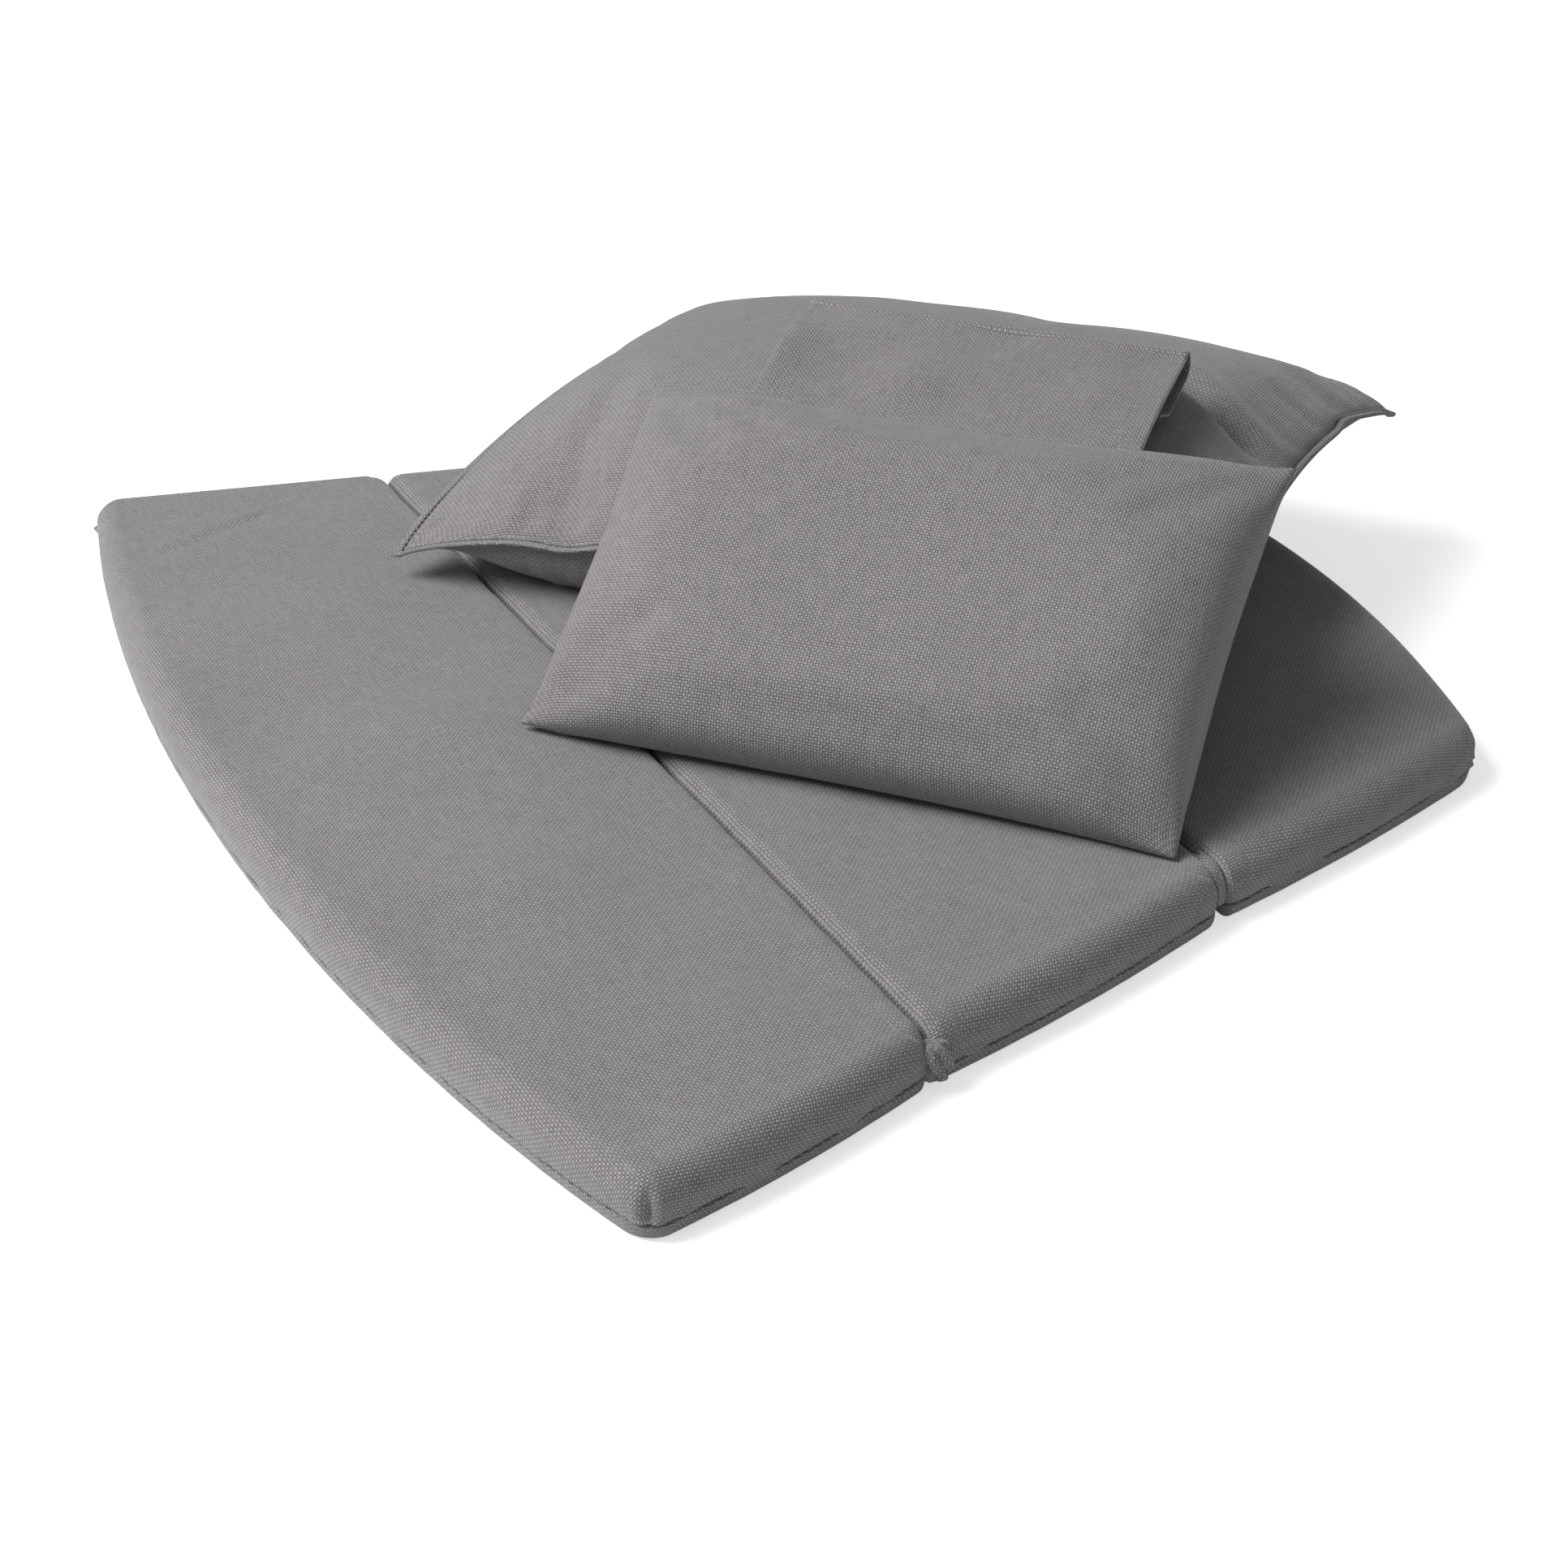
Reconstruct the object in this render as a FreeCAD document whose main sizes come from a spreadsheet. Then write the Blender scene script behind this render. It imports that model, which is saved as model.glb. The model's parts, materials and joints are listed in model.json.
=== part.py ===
"""Cushion set of a garden lounge chair: a three-panel fold pad, a back cushion and a neck pillow.

Frame: the origin is on the floor under the middle of the pad, X runs across its folds from the wide front
edge to the narrow back edge, Y runs along the folds and Z is up. Sizes are in millimetres and angles in
degrees.
"""
import FreeCAD, Part
import math
import os
import Sketcher

Vector = FreeCAD.Vector

SIZES = [
    # Fold pad, in plan
    ("pad_depth", 686),
    ("front_half_width", 475),
    ("back_half_width", 287),
    ("front_bow", 65),
    ("back_bow", 55),
    ("front_fold", 140),
    ("back_fold", 98),
    ("corner_radius", 24),
    # Fold pad, in section
    ("pad_thickness", 40),
    ("shoulder_radius", 19),
    ("hem_radius", 7.5),
    ("cover_cloth", 2.5),
    ("foam_fit", 0.3),
    ("seam_height", 13),
    # Fold lines
    ("fold_gap", 2.3),
    ("fold_height", 27),
    ("seam_fit", 0.3),
    ("seam_end_margin", 14),
    # Zips
    ("front_chain_length", 110),
    ("middle_chain_length", 150),
    ("back_chain_length", 140),
    ("cushion_chain_length", 330),
    ("chain_foot_height", 3),
    ("chain_foot_depth", 1.2),
    ("chain_head_height", 6),
    ("chain_head_depth", 1.5),
    ("chain_end_margin", 4),
    ("slider_length", 11),
    ("slider_wall", 1.2),
    ("slider_fit", 0.3),
    ("tab_length", 18),
    ("tab_height", 5),
    ("tab_thickness", 1.5),
    # Back cushion: plan places of its corners, heights above the pad, then its swell
    ("cushion_left_x", -204),
    ("cushion_left_y", 204),
    ("cushion_left_lift", 40),
    ("cushion_near_x", 147),
    ("cushion_near_y", -245),
    ("cushion_near_lift", 28),
    ("cushion_right_x", 496),
    ("cushion_right_y", 27),
    ("cushion_right_lift", 70),
    ("cushion_far_x", 145),
    ("cushion_far_y", 477),
    ("cushion_far_lift", 22),
    ("cushion_crown", 158),
    ("cushion_draw_in", 12),
    ("cushion_edge", 3.2),
    ("cushion_seam_inset", 7),
    ("cushion_cloth", 2),
    # Neck pillow
    ("pillow_length", 427),
    ("pillow_height", 271),
    ("pillow_front_swell", 46),
    ("pillow_back_swell", 46),
    ("pillow_draw_in", 4),
    ("pillow_edge", 3.2),
    ("pillow_seam_inset", 7),
    ("pillow_cloth", 2),
    ("pillow_x", 20),
    ("pillow_y", -96),
    ("pillow_lift", 75.4),
    ("pillow_yaw", -48),
    ("pillow_tilt", 33),
    # Flap on the pillow's top seam and the weight inside its fold
    ("flap_width", 268),
    ("flap_shift", -15),
    ("flap_upper", 116),
    ("flap_return", 70),
    ("flap_loop_radius", 8),
    ("flap_cloth", 1.6),
    ("flap_slope", 11),
    ("weight_length", 230),
    ("weight_width", 34),
    ("weight_thickness", 3),
    # Clearances between loose pieces
    ("rest_gap", 0.3),
    ("sewn_gap", 0.1),
]

# Shares that shape the soft forms, with no unit
STATION_COUNT = 11
CUSHION_FULLNESS = 2.4
PILLOW_FULLNESS = 3.0
LEAST_SWELL = 0.6


class Measure:
    """A size with its number and the expression that ties it to the sheet."""

    def __init__(self, number, text=None):
        self.number = float(number)
        self.text = text if text is not None else repr(float(number))

    def joined(self, other, sign, number):
        return Measure(number, "(%s %s %s)" % (self.text, sign, other.text))

    def __add__(self, other):
        other = measure(other)
        return self.joined(other, "+", self.number + other.number)

    def __sub__(self, other):
        other = measure(other)
        return self.joined(other, "-", self.number - other.number)

    def __mul__(self, other):
        other = measure(other)
        return self.joined(other, "*", self.number * other.number)

    def __truediv__(self, other):
        other = measure(other)
        return self.joined(other, "/", self.number / other.number)

    def __neg__(self):
        return measure(0) - self

    def root(self):
        return Measure(math.sqrt(self.number), "sqrt(%s)" % self.text)


def measure(value):
    return value if isinstance(value, Measure) else Measure(value)


def make_sheet(doc):
    """The spreadsheet of driving sizes; returns each size by name as a Measure."""
    sheet = doc.addObject("Spreadsheet::Sheet", "Sizes")
    for row, (name, number) in enumerate(SIZES, 1):
        sheet.set("A%d" % row, name)
        sheet.set("B%d" % row, str(number))
        sheet.setAlias("B%d" % row, name)
    doc.recompute()
    return {name: Measure(getattr(sheet, name), "Sizes.%s" % name) for name, _ in SIZES}


doc = FreeCAD.newDocument("CushionSet")
size = make_sheet(doc)
number = {name: value.number for name, value in size.items()}
sub_parts = []


def keep(obj, label):
    """Names a finished sub-part and lists it for writing."""
    obj.Label = label
    sub_parts.append(obj)
    return obj


def bind(obj, **sizes):
    """Ties properties of an object to sizes; a double underscore stands for a dot in the path."""
    for path, value in sizes.items():
        obj.setExpression(path.replace("__", "."), measure(value).text)


def box(name, corner, span):
    """A block from its lowest corner and its spans along X, Y and Z."""
    block = doc.addObject("Part::Box", name)
    bind(block, Length=span[0], Width=span[1], Height=span[2])
    bind(block, Placement__Base__x=corner[0], Placement__Base__y=corner[1], Placement__Base__z=corner[2])
    return block


def boolean(kind, name, base, tool):
    """A Part::Cut, Part::Fuse or Part::Common of two objects."""
    result = doc.addObject("Part::" + kind, name)
    result.Base = base
    result.Tool = tool
    return result


# Sketches


def origin_plane(body, role):
    return next(item for item in body.Origin.OriginFeatures if item.Role == role)


def new_sketch(body, name, role):
    sketch = body.newObject("Sketcher::SketchObject", name)
    sketch.AttachmentSupport = [(origin_plane(body, role), "")]
    sketch.MapMode = "FlatFace"
    return sketch


def fix(sketch, kind, geometry, value, point=None):
    """Adds a driving constraint that the sheet sets."""
    if point is None:
        constraint = Sketcher.Constraint(kind, geometry, value.number)
    else:
        constraint = Sketcher.Constraint(kind, -1, 1, geometry, point, value.number)
    index = sketch.addConstraint(constraint)
    sketch.setExpression("Constraints[%d]" % index, value.text)


def draw_outline(sketch, points, arcs=()):
    """Draws a closed outline, anticlockwise, through points given as pairs of measures.

    arcs maps an edge's number to the X measure of its centre; every other edge is straight.
    """
    arcs = dict(arcs)
    flat = [Vector(x.number, y.number, 0) for x, y in points]
    for edge, start in enumerate(flat):
        end = flat[(edge + 1) % len(flat)]
        if edge in arcs:
            middle = (start + end) / 2
            along = end - start
            across = Vector(-along.y, along.x, 0)
            centre = middle + across * ((arcs[edge].number - middle.x) / across.x)
            radius = (start - centre).Length
            angles = [math.atan2(p.y - centre.y, p.x - centre.x) for p in (start, end)]
            circle = Part.Circle(centre, Vector(0, 0, 1), radius)
            sketch.addGeometry(Part.ArcOfCircle(circle, *angles))
        else:
            sketch.addGeometry(Part.LineSegment(start, end))
    for edge in range(len(flat)):
        sketch.addConstraint(Sketcher.Constraint("Coincident", edge, 2, (edge + 1) % len(flat), 1))
    for edge, (x, y) in enumerate(points):
        fix(sketch, "DistanceX", edge, x, 1)
        fix(sketch, "DistanceY", edge, y, 1)
    for edge, centre_x in arcs.items():
        fix(sketch, "DistanceX", edge, centre_x, 3)


# Fold pad


def leg_slope():
    """How fast the pad narrows from front to back along each leg."""
    return (size["front_half_width"] - size["back_half_width"]) / size["pad_depth"]


def leg_reach(x, inset):
    """Half the pad's width at a place along X, drawn in by an inset."""
    slope = leg_slope()
    full = size["front_half_width"] - slope * (x + size["pad_depth"] / 2)
    return full - inset * (slope * slope + 1).root()


def bow_radius(half, bow):
    return (half * half + bow * bow) / (bow * 2)


def drawn_corner(half, bow, end, inset):
    """The +Y corner of the pad's bowed front edge (end -1) or back edge (end 1), drawn in by an inset.

    The shift m solves a.m = inset and b.m = inset for the outward normals a of the leg and b of the bow.
    """
    slope = leg_slope()
    long = (slope * slope + 1).root()
    leg_x = slope / long
    leg_y = measure(1) / long
    radius = bow_radius(half, bow)
    bow_x = (radius - bow) / radius * end
    bow_y = half / radius
    spread = leg_x * bow_y - leg_y * bow_x
    shift_x = (bow_y - leg_y) / spread * inset
    shift_y = (leg_x - bow_x) / spread * inset
    return size["pad_depth"] / 2 * end - shift_x, half - shift_y


def bow_centre(half, bow, end):
    return (size["pad_depth"] / 2 + bow - bow_radius(half, bow)) * end


def front_outline(inset):
    """Corner points of the front panel, drawn in by an inset, and its bowed edge."""
    half, bow = size["front_half_width"], size["front_bow"]
    seam = -(size["front_fold"] + size["fold_gap"] + inset)
    x, y = drawn_corner(half, bow, -1, inset)
    reach = leg_reach(seam, inset)
    return [(x, -y), (seam, -reach), (seam, reach), (x, y)], {3: bow_centre(half, bow, -1)}


def middle_outline(inset):
    """Corner points of the middle panel, drawn in by an inset."""
    front = size["fold_gap"] + inset - size["front_fold"]
    back = size["back_fold"] - size["fold_gap"] - inset
    wide = leg_reach(front, inset)
    narrow = leg_reach(back, inset)
    return [(front, -wide), (back, -narrow), (back, narrow), (front, wide)], {}


def back_outline(inset):
    """Corner points of the back panel, drawn in by an inset, and its bowed edge."""
    half, bow = size["back_half_width"], size["back_bow"]
    seam = size["back_fold"] + size["fold_gap"] + inset
    x, y = drawn_corner(half, bow, 1, inset)
    reach = leg_reach(seam, inset)
    return [(seam, -reach), (x, -y), (x, y), (seam, reach)], {1: bow_centre(half, bow, 1)}


def fillet(body, base, name, radius, chosen):
    """Rounds the edges of a feature that pass a test."""
    names = ["Edge%d" % n for n, edge in enumerate(base.Shape.Edges, 1) if chosen(edge)]
    feature = body.newObject("PartDesign::Fillet", name)
    feature.Base = (base, names)
    bind(feature, Radius=radius)
    doc.recompute()
    return feature


def slab(name, outline, inset):
    """A rounded slab of the pad, drawn in all round by an inset."""
    inset = measure(inset)
    body = doc.addObject("PartDesign::Body", name)
    sketch = new_sketch(body, name + "_outline", "XY_Plane")
    draw_outline(sketch, *outline(inset))
    bind(sketch, AttachmentOffset__Base__z=inset)
    pad = body.newObject("PartDesign::Pad", name + "_pad")
    pad.Profile = sketch
    bind(pad, Length=size["pad_thickness"] - inset * 2)
    doc.recompute()
    bottom = inset.number
    top = number["pad_thickness"] - inset.number

    def upright(edge):
        span = edge.Vertexes[1].Point - edge.Vertexes[0].Point
        return math.hypot(span.x, span.y) < 1e-6

    def level(height):
        return lambda edge: all(abs(v.Z - height) < 1e-6 for v in edge.Vertexes)

    corners = fillet(body, pad, name + "_corners", size["corner_radius"] - inset, upright)
    shoulders = fillet(body, corners, name + "_shoulders", size["shoulder_radius"] - inset, level(top))
    fillet(body, shoulders, name + "_hem", size["hem_radius"] - inset, level(bottom))
    return body


def above_seam():
    """A block over everything above the covers' seam height."""
    half_width = size["front_half_width"] + size["pad_thickness"]
    half_depth = size["pad_depth"] / 2 + size["front_bow"] + size["back_bow"] + size["pad_thickness"]
    corner = (-half_depth, -half_width, size["seam_height"])
    return box("above_seam", corner, (half_depth * 2, half_width * 2, size["pad_thickness"]))


def panel(side_name, outline, upper):
    """A panel's top cover, bottom cover and foam slab."""
    outside = slab(side_name + "_outside", outline, 0)
    hollow = slab(side_name + "_hollow", outline, size["cover_cloth"])
    shell = boolean("Cut", side_name + "_shell", outside, hollow)
    keep(boolean("Common", side_name + "_top", shell, upper), side_name + "_top_cover")
    keep(boolean("Cut", side_name + "_bottom", shell, upper), side_name + "_bottom_cover")
    keep(slab(side_name + "_slab", outline, size["cover_cloth"] + size["foam_fit"]), side_name + "_foam")


def fold_seam(side_name, x):
    """The sewn roll on a fold line, just clear of both panels' shoulders at every angle of the fold."""
    reach = size["fold_gap"] + size["shoulder_radius"]
    drop = size["pad_thickness"] - size["shoulder_radius"] - size["fold_height"]
    radius = (reach * reach + drop * drop).root() - size["shoulder_radius"] - size["seam_fit"]
    half = leg_reach(x, measure(0)) - size["seam_end_margin"]
    roll = doc.addObject("Part::Cylinder", side_name + "_roll")
    bind(roll, Radius=radius, Height=half * 2)
    roll.Placement = FreeCAD.Placement(Vector(), FreeCAD.Rotation(Vector(1, 0, 0), -90))
    bind(roll, Placement__Base__x=x, Placement__Base__y=-half, Placement__Base__z=size["fold_height"])
    keep(roll, side_name + "_fold_seam")


# Zips: X runs along the chain, Y out of the cloth and Z up, from the chain's middle on the cloth


def zip_chain(name, length, place):
    """A zip chain: a narrow foot on the cloth under a wider head."""
    foot_height = size["chain_foot_height"]
    head_height = size["chain_head_height"]
    foot_corner = (-(length / 2), measure(0), -(foot_height / 2))
    head_corner = (-(length / 2), size["chain_foot_depth"], -(head_height / 2))
    foot = box(name + "_foot", foot_corner, (length, size["chain_foot_depth"], foot_height))
    head = box(name + "_head", head_corner, (length, size["chain_head_depth"], head_height))
    chain = boolean("Fuse", name + "_chain", foot, head)
    chain.Refine = True
    chain.Placement = place
    keep(chain, name + "_zip_chain")


def zip_slider(name, length, place):
    """A slider that hooks behind the chain's head, with its tab, at the chain's first end."""
    fit = size["slider_fit"]
    wall = size["slider_wall"]
    long = size["slider_length"]
    head_out = size["chain_foot_depth"] + size["chain_head_depth"]
    start = size["chain_end_margin"] - length / 2
    case_height = size["chain_head_height"] + (fit + wall) * 2
    room_height = size["chain_head_height"] + fit * 2
    throat_height = size["chain_foot_height"] + fit * 2
    case = box(name + "_case", (start, fit, -(case_height / 2)), (long, head_out + wall, case_height))
    room_corner = (start, size["chain_foot_depth"] - fit, -(room_height / 2))
    room = box(name + "_room", room_corner, (long, size["chain_head_depth"] + fit * 2, room_height))
    throat_corner = (start, measure(0), -(throat_height / 2))
    throat = box(name + "_throat", throat_corner, (long, size["chain_foot_depth"], throat_height))
    hollow = boolean("Fuse", name + "_way", room, throat)
    grip = boolean("Cut", name + "_grip", case, hollow)
    tab_corner = (start, fit + head_out + wall, -(size["tab_height"] / 2))
    tab = box(name + "_tab", tab_corner, (size["tab_length"], size["tab_thickness"], size["tab_height"]))
    slider = boolean("Fuse", name + "_slider", grip, tab)
    slider.Placement = place
    keep(slider, name + "_zip_slider")


def zip_on(name, length, place):
    zip_chain(name, length, place)
    zip_slider(name, length, place)


def leg_zip_place(front, back):
    """The middle of a panel's stretch of the +Y leg, at seam height."""
    x = (front + back) / 2
    base = Vector(x.number, leg_reach(x, measure(0)).number, number["seam_height"])
    turn = -math.degrees(math.atan(leg_slope().number))
    return FreeCAD.Placement(base, FreeCAD.Rotation(Vector(0, 0, 1), turn))


def pad_zips():
    front_edge = -(size["pad_depth"] / 2)
    front_fold = -size["front_fold"]
    zip_on("front", size["front_chain_length"], leg_zip_place(front_edge, front_fold))
    zip_on("middle", size["middle_chain_length"], leg_zip_place(front_fold, size["back_fold"]))
    zip_on("back", size["back_chain_length"], leg_zip_place(size["back_fold"], size["pad_depth"] / 2))


# Soft forms: lofts through sections of lines and arcs between two edges


def stations(fullness):
    """Places from -1 to 1 along a soft form, close together at its ends, and the swell's share at each."""
    places = [-math.cos(math.pi * k / (STATION_COUNT - 1)) for k in range(STATION_COUNT)]
    return [(u, max(0.0, 1 - abs(u) ** fullness) ** 0.5) for u in places]


def polyline(points):
    return [Part.LineSegment(a, b).toShape() for a, b in zip(points, points[1:])]


def arc(start, middle, end):
    return Part.Arc(start, middle, end).toShape()


def loft(sections):
    return Part.makeLoft([Part.Wire(edges) for edges in sections], True, False)


def between(a, b, share):
    return a + (b - a) * share


def soft_piece(label, shape, place=None):
    feature = doc.addObject("Part::Feature", label + "_form")
    feature.Shape = shape
    if place is not None:
        feature.Placement = place
    return keep(feature, label)


# Back cushion


def pad_point(corner):
    """A corner of the back cushion as a point on its edge seam."""
    lift = number["pad_thickness"] + number["cushion_%s_lift" % corner]
    return Vector(number["cushion_%s_x" % corner], number["cushion_%s_y" % corner], lift)


def cushion_edges(u, inset):
    """Near and far points of the cushion's edge seam at a station, drawn in by an inset.

    The far edge is straight from corner to corner. The near edge is drawn in between its corners, and
    drops from its raised left corner to lie low under the neck pillow.
    """
    share = (1 + u) / 2
    near = between(pad_point("left"), pad_point("near"), share)
    far = between(pad_point("far"), pad_point("right"), share)
    low = pad_point("near").z
    near.z = low + (pad_point("left").z - low) * (1 - share) ** 4
    inward = Vector(far.x - near.x, far.y - near.y, 0).normalize()
    near = near + inward * (number["cushion_draw_in"] * (1 - u * u) + inset)
    return near, far - inward * inset


def cushion_top_arc(near, far, swell, cloth, edge):
    """The section's upper arc, from the far edge over the crown to the near edge."""
    up = Vector(0, 0, 1)
    middle = between(near, far, 0.5)
    crown = number["pad_thickness"] + number["cushion_crown"] - cloth
    rise = max(LEAST_SWELL, (crown - middle.z - edge) * swell)
    return arc(far + up * edge, middle + up * (rise + edge), near + up * edge)


def cushion_belly_arc(near, far, swell, edge, rest):
    """The section's lower arc, from the near edge to the far edge.

    Its full sag puts its lowest point at rest height, and towards the ends it draws up to the edge seam.
    """
    up = Vector(0, 0, 1)
    start = near - up * edge
    end = far - up * edge
    middle = between(start, end, 0.5)
    low, high = 0.0, (far - near).Length / 2
    for _ in range(40):
        sag = (low + high) / 2
        if arc(start, middle - up * sag, end).BoundBox.ZMin > rest:
            low = sag
        else:
            high = sag
    return arc(start, middle - up * max(LEAST_SWELL, sag * (1 - (1 - swell) ** 2)), end)


def cushion_loft(part, inset, cloth, edge, rest):
    """A loft of the cushion's top, belly or whole, drawn in at the seam and by the cloth."""
    up = Vector(0, 0, 1)
    half_length = (pad_point("near") - pad_point("left")).Length / 2
    rows = []
    for u, swell in stations(CUSHION_FULLNESS):
        near, far = cushion_edges(u * (1 - inset / half_length), inset)
        thin = up * number["sewn_gap"] / 2
        tall = up * edge
        over = cushion_top_arc(near, far, swell, cloth, edge)
        under = cushion_belly_arc(near, far, swell, edge, rest + cloth)
        if part == "top":
            rows.append(polyline([near + tall, near + thin, far + thin, far + tall]) + [over])
        elif part == "belly":
            rows.append(polyline([far - tall, far - thin, near - thin, near - tall]) + [under])
        else:
            near_wall = polyline([near + tall, near - tall])
            far_wall = polyline([far - tall, far + tall])
            rows.append([over] + near_wall + [under] + far_wall)
    return loft(rows)


def cushion_rest():
    """The belly's rest height, raised by as much as the loft between stations would sink under it."""
    rest = number["pad_thickness"] + number["rest_gap"]
    trial = cushion_loft("belly", 0, 0, number["cushion_edge"] / 2, rest)
    return rest + max(0.0, rest - trial.optimalBoundingBox(False, False).ZMin)


def dented(shape, gap):
    """A cushion form pressed in by the neck pillow and by the flap, with a gap all round them."""
    return shape.cut(pillow_grown(gap)).cut(flap_grown(gap))


def back_cushion():
    """The cushion's two covers, its fill and its zip."""
    edge = number["cushion_edge"] / 2
    inset = number["cushion_seam_inset"]
    cloth = number["cushion_cloth"]
    thin = number["sewn_gap"]
    fit = number["foam_fit"]
    gap = number["rest_gap"]
    rest = cushion_rest()
    hollow = dented(cushion_loft("whole", inset, cloth, thin, rest), gap + cloth)
    top = dented(cushion_loft("top", 0, 0, edge, rest), gap)
    soft_piece("cushion_top_cover", top.cut(hollow))
    soft_piece("cushion_bottom_cover", cushion_loft("belly", 0, 0, edge, rest).cut(hollow))
    fill = cushion_loft("whole", inset + 2 * fit, cloth + fit, thin, rest)
    soft_piece("cushion_fill", dented(fill, gap + cloth + fit))
    zip_on("cushion", size["cushion_chain_length"], cushion_zip_place())


def cushion_zip_place():
    """The middle of the cushion's straight far edge, turned to run along it."""
    far = pad_point("far")
    right = pad_point("right")
    along = (right - far).normalize()
    outward = Vector(-along.y, along.x, 0).normalize()
    if outward.dot(far - pad_point("left")) < 0:
        along = along * -1
        outward = outward * -1
    upward = along.cross(outward)
    turn = FreeCAD.Rotation(along, outward, upward, "XYZ")
    return FreeCAD.Placement(between(far, right, 0.5) + outward * number["sewn_gap"], turn)


# Neck pillow: X runs along its length, Y up its face and Z out of its front


def pillow_place():
    yaw = FreeCAD.Rotation(Vector(0, 0, 1), number["pillow_yaw"])
    tilt = FreeCAD.Rotation(Vector(1, 0, 0), number["pillow_tilt"])
    centre = Vector(number["pillow_x"], number["pillow_y"], number["pad_thickness"] + number["pillow_lift"])
    return FreeCAD.Placement(centre, yaw.multiply(tilt))


def pillow_section(part, u, swell, inset, cloth, edge):
    """A section of the pillow across its height: its front half, its back half or both."""
    x = u * (number["pillow_length"] / 2 - inset)
    half = number["pillow_height"] / 2 - number["pillow_draw_in"] * (1 - u * u) - inset
    thin = number["sewn_gap"] / 2

    def at(y, z):
        return Vector(x, y, z)

    def crown(name):
        return edge + max(LEAST_SWELL, (number[name] - cloth - edge) * swell)

    front = arc(at(half, edge), at(0, crown("pillow_front_swell")), at(-half, edge))
    back = arc(at(-half, -edge), at(0, -crown("pillow_back_swell")), at(half, -edge))
    if part == "front":
        return [front] + polyline([at(-half, edge), at(-half, thin), at(half, thin), at(half, edge)])
    if part == "back":
        return [back] + polyline([at(half, -edge), at(half, -thin), at(-half, -thin), at(-half, -edge)])
    low_wall = polyline([at(-half, edge), at(-half, -edge)])
    high_wall = polyline([at(half, -edge), at(half, edge)])
    return [front] + low_wall + [back] + high_wall


def pillow_loft(part, inset, cloth, edge):
    rows = [pillow_section(part, u, swell, inset, cloth, edge) for u, swell in stations(PILLOW_FULLNESS)]
    return loft(rows)


def pillow_grown(gap):
    """The whole pillow with a gap all round, in its place."""
    shape = pillow_loft("whole", -gap, -gap, number["pillow_edge"] / 2 + gap)
    shape.Placement = pillow_place()
    return shape


def neck_pillow():
    """The pillow's two covers and its fill."""
    place = pillow_place()
    edge = number["pillow_edge"] / 2
    inset = number["pillow_seam_inset"]
    cloth = number["pillow_cloth"]
    thin = number["sewn_gap"]
    fit = number["foam_fit"]
    hollow = pillow_loft("whole", inset, cloth, thin)
    for part in ("front", "back"):
        soft_piece("pillow_%s_cover" % part, pillow_loft(part, 0, 0, edge).cut(hollow), place)
    soft_piece("pillow_fill", pillow_loft("whole", inset + 2 * fit, cloth + fit, thin), place)


# Flap: X runs across its width, Y back from the pillow's top seam along its upper layer


def flap_place():
    """The flap's start on the pillow's top seam, turned to the pillow's yaw and sloped up to the crown."""
    yaw = FreeCAD.Rotation(Vector(0, 0, 1), number["pillow_yaw"])
    slope = FreeCAD.Rotation(Vector(1, 0, 0), number["flap_slope"])
    reach = (number["flap_width"] / 2 + abs(number["flap_shift"])) / (number["pillow_length"] / 2)
    seam = number["pillow_height"] / 2 - number["pillow_draw_in"] * (1 - reach * reach)
    start = pillow_place().multVec(Vector(number["flap_shift"], seam, 0))
    turn = yaw.multiply(slope)
    aside = turn.multVec(Vector(-number["flap_width"] / 2, number["flap_cloth"] / 2 + number["sewn_gap"], 0))
    return FreeCAD.Placement(start + aside, turn)


def flap_grown(gap):
    """A block round the flap's folded part with a gap all round, in its place."""
    deep = 2 * number["flap_loop_radius"]
    low = number["flap_cloth"] / 2 - deep - gap
    start = number["flap_upper"] - number["flap_return"] - gap
    end = number["flap_upper"] + number["flap_loop_radius"] + gap
    shape = Part.makeBox(number["flap_width"] + 2 * gap, end - start, 2 * deep, Vector(-gap, start, low))
    shape.Placement = flap_place().multiply(shape.Placement)
    return shape


def flap():
    """A cloth strip that runs up from the seam, turns over in a loop and comes back under itself."""
    cloth = size["flap_cloth"]
    upper = size["flap_upper"]
    top = cloth / 2
    radius = size["flap_loop_radius"]
    under = top - radius * 2
    end = upper - size["flap_return"]
    body = doc.addObject("PartDesign::Body", "flap_body")
    sketch = new_sketch(body, "flap_profile", "YZ_Plane")
    points = [
        (measure(0), top - cloth),
        (upper, top - cloth),
        (upper, under + cloth),
        (end, under + cloth),
        (end, under),
        (upper, under),
        (upper, top),
        (measure(0), top),
    ]
    draw_outline(sketch, points, {5: upper})
    body_pad = body.newObject("PartDesign::Pad", "flap_strip")
    body_pad.Profile = sketch
    bind(body_pad, Length=size["flap_width"])
    doc.recompute()
    hollow = doc.addObject("Part::Cylinder", "flap_loop_hollow")
    bind(hollow, Radius=radius - cloth, Height=size["flap_width"])
    hollow.Placement = FreeCAD.Placement(Vector(), FreeCAD.Rotation(Vector(0, 1, 0), 90))
    bind(hollow, Placement__Base__y=upper, Placement__Base__z=top - radius)
    strip = boolean("Cut", "flap_cloth_strip", body, hollow)
    strip.Placement = flap_place()
    keep(strip, "flap")


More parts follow.
